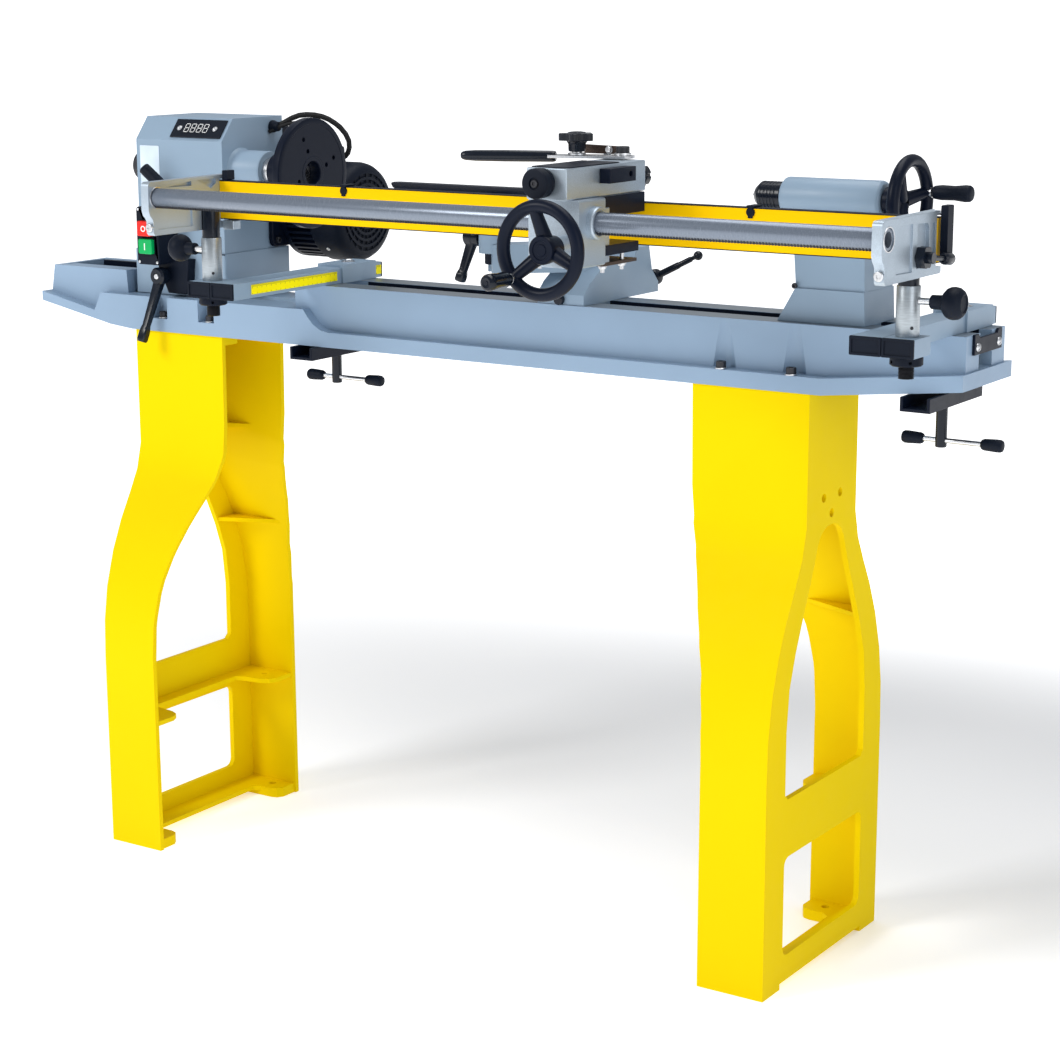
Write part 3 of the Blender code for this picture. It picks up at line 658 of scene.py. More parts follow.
def headstock_details():
    """The sloping display with its numerals and washers, the sticker and the seam."""
    piece("display_panel", panel_box(-504, -409, 4.5, 36.5, 0.1, 2.6), "gloss", "frame", 1.0)
    piece("display_window", panel_box(-488, -438, 11, 30, 2.7, 3.0), "gloss", "frame", 0.2, 1)
    bars = []
    for k in range(4):
        bars += digit(-481 + k * 11.8, 13.4, 7.6, 14.0, 3.1)
    piece("display_digits", join(*bars), "white", "frame")
    normal = Vector((0, -PANEL_SIN, PANEL_COS))
    for name, x in (("a", -492), ("b", -425)):
        y, z = panel_point(20, 2.6)
        band = lathe((x, y, z), normal, ((0, 4.2), (0.6, 4.2), (1.0, 3.7)), 32)
        piece("display_washer_" + name, band, "steel", "frame", 0.15, 2)
        dome("display_screw_" + name, (x, y + normal.y, z + normal.z), normal, 2.8, 1.8, "frame")
    piece(
        "side_label", prism("Y", rounded(-561, -524, 972, 1040, 2), -42.6, -42.05), "label", "frame", 0.1,
        1,
    )
    piece("head_seam", box(-570.5, -401, -45.25, -44.9, 886.5, 888.2), "black", "frame")


def spindle_fittings():
    """The nut, cap and boss along the spindle, and the two cable glands."""
    nut = ring(
        SPINDLE, RIGHT, ((-596, 12.8), (-596, 21), (-594.5, 22), (-586, 22), (-584.5, 21), (-584.5, 12.8)),
        40,
    )
    piece("spindle_nut", nut, "oxide", "spindle", 0.4)
    cap = ring(SPINDLE, RIGHT, ((-571.5, 21), (-571.5, 34), (-570, 36), (-567.9, 36), (-567.9, 21)), 48)
    piece("rear_bearing_cap", cap, "cast", "frame", 0.5)
    for k in range(3):
        a = 2 * pi * k / 3 + 0.5
        dome(
            f"rear_cap_screw_{k}", (-571.5, 28.5 * cos(a), AXIS_Z + 28.5 * sin(a)), (-1, 0, 0), 2.8, 1.8,
            "frame",
        )
    boss = ring(
        SPINDLE, RIGHT,
        ((-405, 17.5), (-405, 33), (-402, 30), (-398, 28.6), (-352, 28.6), (-349.7, 27), (-349.7, 17.5)),
        64,
    )
    piece("spindle_boss", boss, "head", "frame", 0.6)
    for place_name, where, flange in (("head", (-403.5, 72, 1066), 4), ("motor", (-346.2, 145, 1017), 5)):
        profile = ((0, 4.2), (0, 9), (flange, 9), (flange + 1, 8), (flange + 9, 6.6), (flange + 10, 4.2))
        piece("cable_gland_" + place_name, ring(where, RIGHT, profile, 24), "black", "frame", 0.4)


def headstock_controls():
    for name, z in (("stop", 924), ("start", 898)):
        lip = prism("Y", rounded(-525.5, -496.5, z - 12.6, z + 12.6, 3), -89.2, -87.9)
        hole = prism("Y", rounded(-524.3, -497.7, z - 11.3, z + 11.3, 2.6), -95, -80)
        cut(lip, hole)
        piece("button_frame_" + name, lip, "black", "frame", 0.3)
    piece("stop_mark", rod("Y", -511, 924, -97.5, -96.9, 4.4, 32, 2.9), "white", "stop_button")
    piece("start_mark", box(-511.8, -510.2, -95.5, -94.9, 893, 903), "white", "start_button")
    for index, (x, z) in enumerate(((-528, 951), (-494, 951), (-528, 875), (-494, 875))):
        dome(f"switch_screw_{index}", (x, -88, z), FRONT, 2.2, 1.2, "frame")
    plate = prism("Y", ((-521, 879), (-457, 879), (-462, 828), (-497, 828)), -62.5, -45.4)
    cut(plate, rod("Y", -500, 854, -70, -40, 5.6, 24))
    piece("lever_block", plate, "black", "frame", 1.5)
    ratchet("headstock_ratchet", "headstock_lever", (-500, -45.3, 854), FRONT, (-514, -98, 775), 18, 34)
    lever = between((-478, -55, 962), (-506, -65, 988), 4, 4, 24)
    hub = lathe((-478, -42.3, 962), FRONT, ((0, 11), (3, 11), (5, 9), (16, 9), (18, 7)), 40)
    whole = weld(hub, lever)
    stand_in("speed_lever", "speed_lever_arm", whole, "oxide", "speed_lever", 0.4)
    p = Vector((-502, -63.5, 984.5))
    d = (Vector((-529, -73, 1011)) - Vector((-504, -64, 986))).normalized()
    profile = [(0, 0), (0, 6), (1, 8)]
    for k in range(14):
        profile += [(2 + k * 2.3, 9.0), (3.5 + k * 2.3, 8.6)]
    profile += [(36, 8.6), (38, 7), (38, 0)]
    piece("speed_lever_grip", spin(p, d, profile, 36), "black", "speed_lever")


def ratchet(name, node, pivot, axis, tip, stud, reach):
    """A ratchet clamping lever: a stepped hub with its steel screw, and a ridged tapering arm."""
    p = Vector(pivot)
    d = Vector(axis).normalized()
    tip = Vector(tip)
    start = p + d * (reach - 5)
    hub = lathe(
        p, d,
        (
            (0, 5), (stud, 5), (stud, 10.5), (stud + 3, 11.5), (reach - 8, 11.5), (reach - 6, 13),
            (reach + 3, 13), (reach + 6, 10.5), (reach + 6, 5), (reach + 4, 5),
        ),
        40,
    )
    along = (tip - start).normalized()
    side = along.cross(d).normalized()
    up = side.cross(along).normalized()
    length = (tip - start).length
    points = []
    rings = (
        (0, 8.5, 7.5), (0.25, 7.2, 6.4), (0.9, 5.6, 5.0), (0.96, 6.6, 6.0), (1.02, 7.4, 6.6),
        (1.16, 7.6, 6.6), (1.2, 6.4, 5.4),
    )
    m = 12
    for t, a, b in rings:
        c = start + along * (t * length)
        for k in range(m):
            w = 2 * pi * k / m
            cu = copysign(abs(cos(w)) ** 0.6, cos(w)) * a
            cv = copysign(abs(sin(w)) ** 0.6, sin(w)) * b
            points.append(tuple(c + side * cu + up * cv))
    faces = [list(range(m)), list(range((len(rings) - 1) * m, len(rings) * m))]
    for r in range(len(rings) - 1):
        for k in range(m):
            j = (k + 1) % m
            faces.append([r * m + k, r * m + j, (r + 1) * m + j, (r + 1) * m + k])
    arm = shape(points, faces)
    whole = weld(hub, arm)
    stand_in(node, name, whole, "gloss", BODY_OF[node], 0.7, 3, 35)
    screw = lathe(p + d * (reach + 3.4), d, ((0, 4.4), (2.2, 4.2), (3.0, 3.4)), 24)
    piece(name + "_screw", screw, "steel", BODY_OF[node], 0.2)


# --- drive ---


def drive_details():
    """The faceplate with its holes, and the collar behind it."""
    holes = []
    for k in range(8):
        a = pi / 4 * k + radians(112 if k % 2 else 108) - (pi / 4 if k % 2 else 0)
        r = 52 if k % 2 else 33
        holes.append(rod("X", r * cos(a), AXIS_Z + r * sin(a), -310, -265, 3.4, 20))
    profile = (
        (-336.5, 17), (-336.5, 25), (-335, 26.4), (-302, 27), (-296, 29), (-290, 36), (-286.5, 44),
        (-285, 75), (-283.4, 77.4), (-281.8, 78), (-272.6, 78), (-271.4, 77.4), (-271, 76.4), (-271, 70),
        (-271.6, 69.4), (-271.6, 24), (-271, 23.2), (-271, 18), (-272, 17),
    )
    disc = ring(SPINDLE, RIGHT, profile, 120)
    cut(disc, *holes)
    stand_in("faceplate", "faceplate_disc", disc, "iron", "spindle", angle=24)
    collar = ring(
        SPINDLE, RIGHT,
        ((-349.2, 15.2), (-349.2, 19), (-348, 20), (-339, 20), (-337.4, 19), (-337.4, 15.2)), 56,
    )
    piece("spindle_collar", collar, "turned", "spindle", 0.3)


def motor_details():
    """The finned motor with its terminal box."""
    fins = toothed(145, 940, 44, ((62, -0.32), (70, -0.20), (70, 0.20), (62, 0.32)))
    ribs = prism("X", fins, -388, -342)
    flange = rod("X", 145, 940, -395.3, -386, 70, 96)
    end = rod("X", 145, 940, -345, -340.2, 64, 96)
    box_part = prism("X", rounded(119, 171, 1000, 1034, 5), -386, -346.4)
    frame_part = weld(ribs, flange, end, box_part)
    cut(frame_part, rod("X", 145, 940, -400, -372, 10, 32))
    stand_in("motor", "motor_frame", frame_part, "iron", "frame", 0.6, 2)
    lid = prism("Z", rounded(-384.5, -348, 121, 169, 5), 1033.8, 1036.5)
    piece("terminal_lid", lid, "black", "frame", 0.8)
    for index, (px, py) in enumerate(((-380, 126), (-352, 126), (-380, 164), (-352, 164))):
        dome(f"terminal_screw_{index}", (px, py, 1036.4), UP, 2.4, 1.4, "frame")


def fan_details():
    """The fan cover with its round grid and screws, the motor plate's screws and the sensor's lead."""
    profile = (
        (-339.7, 64), (-339.7, 72.2), (-338.6, 73), (-304, 73), (-297, 71.5), (-291, 68), (-287.5, 62.5),
        (-286.3, 56), (-286.2, 0),
    )
    shell = spin(MOTOR, RIGHT, profile, 96)
    grooves = []
    for r in (16, 25, 34, 43, 52):
        grooves.append(ring(MOTOR, RIGHT, ((-288.6, r), (-288.6, r + 5), (-280, r + 5), (-280, r)), 72))
    cut(shell, *grooves)
    bars = []
    for k in range(12):
        a = pi * k / 12
        bars.append(
            between(
                (-287.2, 145 - 58 * cos(a), 940 - 58 * sin(a)),
                (-287.2, 145 + 58 * cos(a), 940 + 58 * sin(a)), 1.0, 1.0, 8,
            )
        )
    stand_in("motor_fan_cover", "fan_cover", shell, "black", "frame", angle=28)
    piece("fan_grid", join(*bars), "black", "frame")
    for k in range(4):
        a = pi / 4 + k * pi / 2
        socket_screw(
            f"fan_screw_{k}", (-320, 145 + 72.6 * cos(a), 940 + 72.6 * sin(a)), (0, cos(a), sin(a)), 3, 1.5,
            "frame", "steel",
        )
    for index, (py, pz) in enumerate(((68, 900), (68, 1000), (204, 900), (204, 1000))):
        socket_screw(f"motor_plate_screw_{index}", (-395.7, py, pz), RIGHT, 4.5, 5, "frame")
    second = cable_curve(
        "sensor_cable",
        (
            (-403, 64, 1058), (-388, 72, 1068), (-360, 92, 1076), (-334, 112, 1066), (-322, 124, 1044),
            (-326, 134, 1020), (-334, 138, 1008), (-344, 139, 1006),
        ),
        2.6,
    )
    piece_curve(second, "rubber", "frame")


def cable_curve(name, route, r):
    curve = bpy.data.curves.new(name, "CURVE")
    curve.dimensions = "3D"
    curve.bevel_depth = r * MM
    curve.bevel_resolution = 5
    curve.use_fill_caps = True
    spline = curve.splines.new("NURBS")
    spline.points.add(len(route) - 1)
    for point, co in zip(spline.points, route):
        point.co = (*P(*co), 1)
    spline.use_endpoint_u = True
    spline.order_u = 4
    spline.resolution_u = 12
    obj = bpy.data.objects.new(name, curve)
    bpy.context.scene.collection.objects.link(obj)
    return obj


def piece_curve(obj, mat, body):
    obj.data.materials.append(M[mat])
    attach(obj, body)


# --- tailstock ---


def tailstock_details():
    """The casting with its long barrel."""
    lower = prism("Y", ((496, 856.3), (616, 856.3), (614, 898), (520, 898)), -43, 43)
    upper = prism("Y", ((520, 896), (613.5, 896), (611, 1000), (512, 1000)), -40.5, 40.5)
    for s in (-1, 1):
        points = (
            (s * 60, 950), (s * 41.5, 950), (s * 39, 958), (s * 35, 970), (s * 28, 982), (s * 21, 990),
            (s * 20, 1010), (s * 60, 1010),
        )
        cut(upper, prism("X", points, 480, 640))
    barrel = spin(
        SPINDLE, RIGHT, ((483, 21), (485.5, 23.8), (488, 24.5), (614.5, 24.5), (617.5, 23.4), (619.5, 21)),
        80,
    )
    key = box(502, 610, -17.5, 17.5, 846, 862)
    whole = weld(lower, upper, barrel, key)
    cut(
        whole, rod("X", 0, AXIS_Z, 460, 580, 16.3, 48), rod("X", 0, AXIS_Z, 570, 630, 9, 32),
        rod("Z", 560, 0, 840, 880, 6.4, 20),
    )
    stand_in("tailstock", "tailstock_casting", whole, "casting", "tailstock", 2.2, 4, 32)


def quill_details():
    """The quill with its live centre, and the wheel that drives it."""
    turned(
        "quill_tube", "quill", SPINDLE, RIGHT,
        ((482.2, 8.3), (482.2, 15.2), (483, 16), (575, 16), (576, 15), (576, 6.5), (522, 6.5), (522, 8.3)),
        "turned", "quill", 64, 0.2,
    )
    ridges = [(441.5, 0), (441.5, 8.5), (443.5, 11.5), (448.5, 16), (450.5, 17.6), (452, 18)]
    for k in range(5):
        ridges += [
            (454 + k * 4.8, 18), (454.6 + k * 4.8, 17.2), (455.8 + k * 4.8, 17.2), (456.4 + k * 4.8, 18),
        ]
    ridges += [(480.6, 18), (481.8, 17), (481.8, 8), (503, 7.2), (503, 0)]
    turned(
        "live_centre_body", "live_centre", SPINDLE, RIGHT, ridges, "gloss", "quill", 56, 0.2,
        [rod("X", 0, AXIS_Z, 436, 457, 6.3, 32)],
    )
    turned(
        "centre_tip", "centre_point", SPINDLE, RIGHT,
        ((435, 0), (441, 5.0), (441.6, 6), (455.5, 6), (455.5, 0)), "steel", "centre_point", 40, 0.1,
    )
    hub = (
        (526, 0), (526, 6), (620.6, 6), (620.6, 16), (621.6, 17), (641, 17), (644, 16), (645, 14.5),
        (645, 5), (643, 4.5), (643, 0),
    )
    handwheel(
        "tail_wheel", "tail_handwheel", "X", 652, 0, AXIS_Z, 50, 7.8, hub, (10, 130, 250), -12,
        "tail_handwheel",
    )
    ferrule = lathe(TAIL_GRIP, RIGHT, ((652, 7), (659.4, 7), (660.6, 5), (660.9, 4)), 32)
    piece("tail_ferrule", ferrule, "steel", "tail_handwheel", 0.2)
    grip = (
        (661.2, 0), (661.2, 7), (662.6, 8.2), (672, 9.4), (689, 9.0), (703, 10.5), (708.6, 10.2),
        (711.2, 8.4), (712, 6), (712, 0),
    )
    turned("tail_grip", "tail_handle", TAIL_GRIP, RIGHT, grip, "black", "tail_handle", 48, 0.3)
    socket_screw("tail_side_screw", (520, -43, 901), FRONT, 3.6, 3.5, "tailstock")
    lock_lever("tail_lock_arm", "tail_lever", (566, 43.3, 890), (640, 54, 918))


def lock_lever(name, node, pivot, tip):
    """An eccentric's hub and its round arm with a ball at the end."""
    p = Vector(pivot)
    t = Vector(tip)
    hub = lathe(p, (0, 1, 0), ((0, 10), (2, 11), (13, 11), (16, 8.5)), 36)
    start = p + Vector((0, 9, 0))
    reach = (t - start).length
    arm = spin(
        start, t - start,
        (
            (0, 5.0), (reach * 0.55, 4.6), (reach * 0.57, 3.9), (reach - 12, 3.9), (reach - 11, 2.9),
            (reach, 2.9),
        ),
        28,
    )
    profile = []
    for i in range(11):
        a = pi * i / 10
        profile.append((-6.5 * cos(a), 0 if i in (0, 10) else 6.5 * sin(a)))
    ball = spin(t, t - start, profile, 28)
    whole = weld(hub, arm, ball)
    stand_in(node, name, whole, "gloss", BODY_OF[node], 0.3, 2, 35)


# --- tool rest ---


def rest_details():
    """The tool rest, its two levers and the bolt in the banjo."""
    stem = lathe((93, -85, 0), UP, ((907, 8), (908, 9), (952, 9), (975, 9)), 48)
    ledge_profile = (
        (-99, 1007), (-98, 1009), (-92, 1009.6), (-78.5, 1009), (-77, 1007), (-78, 1003), (-81.5, 999),
        (-82, 986), (-88, 986), (-88.5, 999), (-96, 1003),
    )
    ledge = prism("X", ledge_profile, -60, 246)
    outline = [(-52, 1001), (-54, 991)]
    for i in range(9):
        a = i / 8
        outline.append((-54 + 110 * a, 990 - 26 * sin(a * pi / 2) ** 1.6))
    for i in range(9):
        a = 1 - i / 8
        outline.append((240 - 110 * a, 990 - 26 * sin(a * pi / 2) ** 1.6))
    outline.append((238, 1001))
    gusset = prism("Y", outline, -88.2, -81.8)
    socket = lathe((93, -85, 0), UP, ((956, 10.5), (958, 12), (976, 12), (990, 9)), 40)
    whole = weld(gusset, ledge, stem, socket)
    stand_in("tool_rest", "tool_rest_blade", whole, "iron", "tool_rest", 0.9, 3, 32)
    ratchet("rest_ratchet", "rest_lever", (81.6, -85, 941), (-1, 0, 0), (50, -92, 892), 6, 22)
    lock_lever("banjo_lock_arm", "banjo_lever", (208, 136.3, 874), (275, 147, 907))
    bolt = lathe((183, -57.3, 863), FRONT, ((0, 7), (3, 7.4), (6, 7), (7.5, 5.5)), 28)
    piece("banjo_front_bolt", bolt, "gloss", "banjo", 0.3)


# --- copy attachment ---


def bars_details():
    for side, mid, stub_mid in (("left", -227.1, -267.1), ("right", 719.0, 759.0)):
        for tag, cx in (("bar", mid), ("stub", stub_mid)):
            outer = prism("Y", rounded(cx - 19.6, cx + 19.6, 856.2, 878.2, 1.2), -259, -255.8)
            groove = prism("Y", rounded(cx - 16.6, cx + 16.6, 859.2, 875.2, 0.9), -260, -257.6)
            cut(outer, groove)
            piece(f"cap_{tag}_{side}", outer, "black", "frame", 0.4)
        rear = prism("Y", rounded(mid - 19.6, mid + 19.6, 856.4, 878, 1.2), 71.8, 75)
        piece("cap_rear_" + side, rear, "black", "frame", 0.6)
        hex_bolt("bar_bolt_" + side, (mid, 20, 881.6), UP, 7, 4.5, "frame", washer=10)
    ruler("ruler_long", -207.2, -220, -32)
    ruler("ruler_short", -207.2, 58, 71.5)


def ruler(name, x, y0, y1):
    """A yellow scale strip with generic division marks."""
    piece(name, prism("X", rounded(y0, y1, 861, 874, 0.6), x, x + 0.35), "ruler", "frame")
    ticks = []
    count = int((y1 - y0 - 4) / 2)
    for k in range(count + 1):
        y = y0 + 2 + 2 * k
        height = 5.0 if k % 5 == 0 else 2.8
        ticks.append(box(x + 0.3, x + 0.45, y - 0.22, y + 0.22, 873.7 - height, 873.7))
        if k % 5 == 0:
            ticks.append(box(x + 0.3, x + 0.45, y - 0.22, y + 0.22, 861.3, 863.2))
    piece(name + "_marks", join(*ticks), "oxide", "frame")


def posts_details():
    """Each post with its sleeve, nut, thread and locking knob."""
    for side, x, out in (("left", POST_L, -1), ("right", POST_R, 1)):
        foot = (x, POST_Y, 0)
        knob_at = (x, POST_Y, 919)
        tube = ((878.1, 12.3), (878.1, 13.2), (879, 13.6), (935.2, 13.6), (936, 13), (936, 12.3))
        hole = rod("X", POST_Y, 919, *sorted((x + out * 5, x + out * 20)), 4.3, 24)
        sleeve = ring(foot, UP, tube, 72)
        cut(sleeve, hole)
        stand_in("sleeve_" + side, "sleeve_tube_" + side, sleeve, "post", "frame", angle=40)
        nut = lathe(foot, UP, ((845, 17), (846.5, 19), (854.5, 19), (855.6, 18)), 56)
        pins = [
            rod("Z", x + 14 * c, POST_Y + 14 * s, 840, 850, 2.4, 16)
            for c, s in ((0.7, -0.7), (-0.7, -0.7), (0.7, 0.7), (-0.7, 0.7))
        ]
        side_pins = [
            between((x + 10 * c, POST_Y - 10, 850), (x + 14 * c, -254, 850), 2.0, 2.0, 16)
            for c in (-1, 1)
        ]
        cut(nut, *pins, *side_pins)
        piece("post_nut_" + side, nut, "black", "frame", 0.5, 3, 40)
        piece("post_thread_" + side, thread((x, POST_Y, 830), UP, 9.3, 16, 1.6, 32), "oxide", "frame")
        post = lathe(foot, UP, ((894, 11.5), (895, 12), (972, 12), (974, 11)), 64)
        stand_in("post_" + side, "post_rod_" + side, post, "gloss", "gantry", angle=40)
        screw = lathe((x + out * 12.4, POST_Y, 919), (out, 0, 0), ((0, 3.4), (1, 4), (31, 4)), 28)
        piece("lock_rod_" + side, screw, "steel", "post_knob_" + side)
        knob = (
            (28, 0), (28, 7), (29, 8), (38, 8.2), (42, 8.6), (44.5, 12.6), (48, 16.4), (52, 18.2),
            (56, 18.6), (61, 17.8), (65, 15.2), (67, 12.4), (67.6, 10.6), (67, 9.4), (66.2, 9), (66.2, 0),
        )
        ball = spin(knob_at, (out, 0, 0), knob, 64)
        stand_in("post_knob_" + side, "lock_knob_" + side, ball, "black", "post_knob_" + side, angle=35)
        dome("sleeve_screw_" + side, (x + 9.9, -241.9, 889), (0.7, -0.7, 0), 2.0, 0.8, "frame", "oxide")


def bracket(name, node, x0, x1, outer):
    """A cast end plate: rounded front edge, bored boss, ribs and pockets on its open face."""
    outline = [
        (-339, 950), (-336, 946.5), (-192, 946.5), (-190, 948.5), (-190, 954.5), (-204.4, 956),
        (-204.4, 1012.4), (-190, 1013), (-190, 1018),
    ]
    for i in range(7):
        a = radians(90 + 15 * i)
        outline.append((-341 + 6 * cos(a), 1011 + 6 * sin(a)))
    outline += [(-347.4, 980), (-345, 973), (-341, 969), (-339, 965)]
    plate = prism("X", outline, x0, x1)
    post = POST_R if outer else POST_L
    cuts = [rod("X", -330, 996, x0 - 5, x1 + 5, 12.8, 56), rod("Z", post, POST_Y, 938, 974.8, 12.9, 40)]
    if outer:
        pockets = (
            (5, ((-256, 957.5), (-224, 958.5), (-224, 1000), (-228, 1006), (-256, 1007))),
            (2, ((-310, 956), (-268, 955), (-268, 1008), (-298, 1008), (-310, 1004))),
            (4, ((-215, 961), (-207.5, 961.5), (-207.5, 1006), (-215, 1005))),
        )
    else:
        pockets = (
            (5, ((-312, 1008), (-262, 1013.5), (-262, 1007))),
            (5, ((-250, 1013.6), (-212, 1013.8), (-212, 1007.5), (-222, 1001))),
            (2.2, ((-330, 954), (-262, 953.5), (-262, 1002), (-310, 1002), (-314, 988), (-330, 980))),
        )
    cuts += [prism("X", pocket, x1 - depth, x1 + 5) for depth, pocket in pockets]
    cut(plate, *cuts)
    stand_in(node, name, plate, "cast", "gantry", 1.0, 3, 32)
    band = ring(TUBE, RIGHT, ((x1 - 0.4, 12.9), (x1 - 0.4, 14.6), (x1 + 0.5, 14.2), (x1 + 0.5, 12.9)), 48)
    piece(name + "_ring", band, "steel", "gantry", 0.1, 1)
    screw = lathe(
        ((x0 + x1) / 2, -339, 957), FRONT, ((0, 5.4), (0.8, 5.8), (2.2, 5.8), (3, 5), (3, 2.4), (2, 2.4)),
        36,
    )
    piece(name + "_screw", screw, "steel", "gantry", 0.2)


def gantry_details():
    """The two end plates, and the guide tube with its rack."""
    bracket("end_plate_left", "bracket_left", -283, -270.5, False)
    bracket("end_plate_right", "bracket_right", 765.5, 778, True)
    tube = ring(
        TUBE, RIGHT, ((-282, 9), (-282, 12), (-281.4, 12.5), (776.4, 12.5), (777, 12), (777, 9)), 96,
    )
    pitch = 3.93
    x = -268.0
    outline = [(x, 989)]
    while x + pitch < 764:
        outline += [
            (x, 987.4), (x + pitch * 0.2, 983.1), (x + pitch * 0.45, 983.1), (x + pitch * 0.65, 987.4),
        ]
        x += pitch
    outline.append((x, 989))
    piece("rack_teeth", prism("Y", outline, -338, -325), "oxide", "gantry")
    stand_in("rack_tube", "guide_tube", tube, "tube", "gantry", angle=40)


def rail_details():
    """The yellow template rail with its edges, clips and clamps."""
    rail = box(-282, 778, -204, -190, 959.6, 1009.4)
    stand_in("template_rail", "yellow_rail", rail, "rail", "gantry", 0.4, 2)
    for tag, z0, z1 in (("top", 1009.4, 1010.5), ("bottom", 958.5, 959.6)):
        piece("rail_edge_" + tag, box(-282, 778, -204.3, -189.9, z0, z1), "black", "gantry", 0.4, 2)
    for index, x in enumerate((-59, 542)):
        head = lathe(
            (x, -204.6, 1005), FRONT, ((-3, 5.6), (0.6, 5.6), (1.6, 4.8), (1.6, 2.0), (0.8, 2.0)), 32,
        )
        piece(f"rail_screw_{index}", head, "black", "gantry")
        clip = prism("Z", rounded(x - 5.5, x + 5.5, -206, -184, 1.5), 1010.5, 1013)
        piece(f"rail_clip_{index}", clip, "black", "gantry", 0.5)
        piece(f"rail_tongue_{index}", box(x - 3, x + 3, -206, -204.3, 998, 1011), "black", "gantry", 0.5)
    for side, x in (("left", -270.5), ("right", 778)):
        pin = lathe((x - 6, -196, 1015.5), RIGHT, ((0, 3.2), (8, 3.2), (9, 2.6)), 24)
        piece("clamp_pin_" + side, pin, "steel", "gantry", 0.2)
        jaw = prism("Y", rounded(x + 4, x + 13, 1010.8 if side == "left" else 960, 1024, 1.2), -204, -188)
        piece("clamp_jaw_" + side, jaw, "black", "gantry", 0.6)
    foot = prism("Z", rounded(-266, -247, -206, -190.5, 1.2), 945, 957)
    piece("clamp_foot_left", foot, "cast", "gantry", 0.8)
    lobes = around(-250, 970, 36, lambda k: 12.2 + 0.9 * cos(pi * k / 3))
    knob = prism("X", lobes, 778.5, 789)
    boss = rod("X", -250, 970, 778.3, 796, 6.5, 32)
    pin = between((792, -250, 970), (792, -208, 965.3), 3, 3, 24)
    grip = lathe(
        (792, -216, 966.2), (0, 1, -0.11), ((0, 4), (2, 6.6), (4, 7), (18, 7), (21, 5.6), (22.5, 3)), 32,
    )
    lock = weld(knob, boss, pin, grip)
    stand_in("template_lock", "template_lock_knob", lock, "gloss", "template_lock", 0.5, 3, 32)


# --- carriage ---


def carriage_details():
    """The rings round the tube, the pinion and the wheel with its grip."""
    band = ring(
        TUBE, RIGHT, ((404, 13.4), (404, 19.3), (411, 19.3), (413, 18), (413, 15), (411.5, 13.4)), 64,
    )
    piece("carriage_ring_right", band, "cast", "carriage", 0.6)
    band = ring(
        TUBE, RIGHT, ((327, 13.4), (325.5, 15), (325.5, 18), (327.5, 19.3), (337, 19.3), (337, 13.4)), 64,
    )
    piece("carriage_ring_left", band, "cast", "carriage", 0.6)
    hub = (
        (318, 0), (318, 5), (390.6, 5), (390.6, 13.6), (392, 15), (411, 16.6), (418, 16.8), (419.6, 15.6),
        (419.6, 11.4), (418.4, 10.8), (418.4, 7), (419.4, 6.4), (419.4, 0),
    )
    gear = toothed(388, 971, 14, ((9.4, -0.35), (12, -0.15), (12, 0.15), (9.4, 0.35)))
    handwheel(
        "carriage_wheel", "carriage_handwheel", "Y", -420, 388, 971, 50.5, 7.8,
        tuple((-t, r) for t, r in hub), (100, 222, 340), 16, "carriage_handwheel",
        [prism("Y", gear, -342, -319)],
    )
    a = radians(222)
    start = (388 + 50.5 * cos(a), 0, 971 + 50.5 * sin(a))
    grip = (
        (428.6, 0), (428.6, 4), (431, 4), (431, 7.4), (433, 8.4), (438, 9.4), (452, 8.9), (465, 10),
        (471, 9.8), (474, 8.4), (475.6, 6), (475.2, 3), (476, 2.6), (476, 0),
    )
    collar = lathe(start, FRONT, ((420, 6.4), (428, 6.4), (428.4, 5)), 32)
    piece("carriage_ferrule", collar, "steel", "carriage_handwheel", 0.2)
    turned("carriage_grip", "carriage_handle", start, FRONT, grip, "gloss", "carriage_handle", 48, 0.0)


def stylus_details():
    """The follower that rides along the template, under the carriage."""
    piece("stylus_block", box(300, 404, -305.6, -228, 955, 967), "iron", "carriage", 0.8)
    piece("stylus_plate", box(302, 402, -305, -229, 942.5, 946.5), "brown", "carriage", 0.4)
    for index, (px, py) in enumerate(((396, -298), (396, -254), (308, -298), (308, -254))):
        hex_bolt(f"stylus_bolt_{index}", (px, py, 942.3), (0, 0, -1), 4.6, 3.6, "carriage", washer=5.5)
        piece(f"stylus_stud_{index}", rod("Z", px, py, 934.5, 956, 2.6, 20), "steel", "carriage")
    piece("stylus_web", box(345, 401, -307, -290, 946, 1011), "cast", "carriage", 1.2)
    piece("cutter_holder", box(376, 399, -303, -206, 1000, 1023.6), "iron", "carriage", 0.8)


def slide_details():
    """The cross slide with its two knobs and its cover."""
    block = prism("Z", rounded(398.3, 413, -309, -250, 1), 1040, 1057)
    cut(block, rod("X", -262, 1049, 405, 420, 3.6, 24))
    piece("slide_gib_block", block, "iron", "top_slide", 0.6)
    knob = (
        (0, 0), (0, 16.2), (1, 17), (4, 17), (4.8, 16.2), (6.4, 16.2), (7.2, 17.6), (17, 17.6),
        (18.6, 16.6), (19, 15.4), (19, 7), (17.4, 6.4), (17.4, 0),
    )
    turned("feed_knob_round", "feed_knob", (366, -380.3, 1044), FRONT, knob, "black", "feed_knob", 64, 0.0)
    socket_screw("feed_knob_screw", (366, -397.7, 1044), FRONT, 4.6, 2, "feed_knob", "oxide")
    flutes = around(383, 1041, 72, lambda k: 12.9 if k % 12 < 3 else 14.4)
    flute = prism("Y", flutes, -198.5, -188)
    hub = rod("Y", 383, 1041, -202.7, -197, 7, 32)
    knob = weld(flute, hub)
    cut(knob, box(381.6, 384.4, -192, -185, 1025, 1057))
    stand_in("rear_knob", "rear_knob_fluted", knob, "gloss", "rear_knob", 0.4, 2, 40)
    cover = prism("Z", ((345, -372), (392, -378), (397, -372), (397, -262), (345, -262)), 1061.2, 1062.2)
    piece("slide_cover", cover, "iron", "top_slide", 0.3, 2)


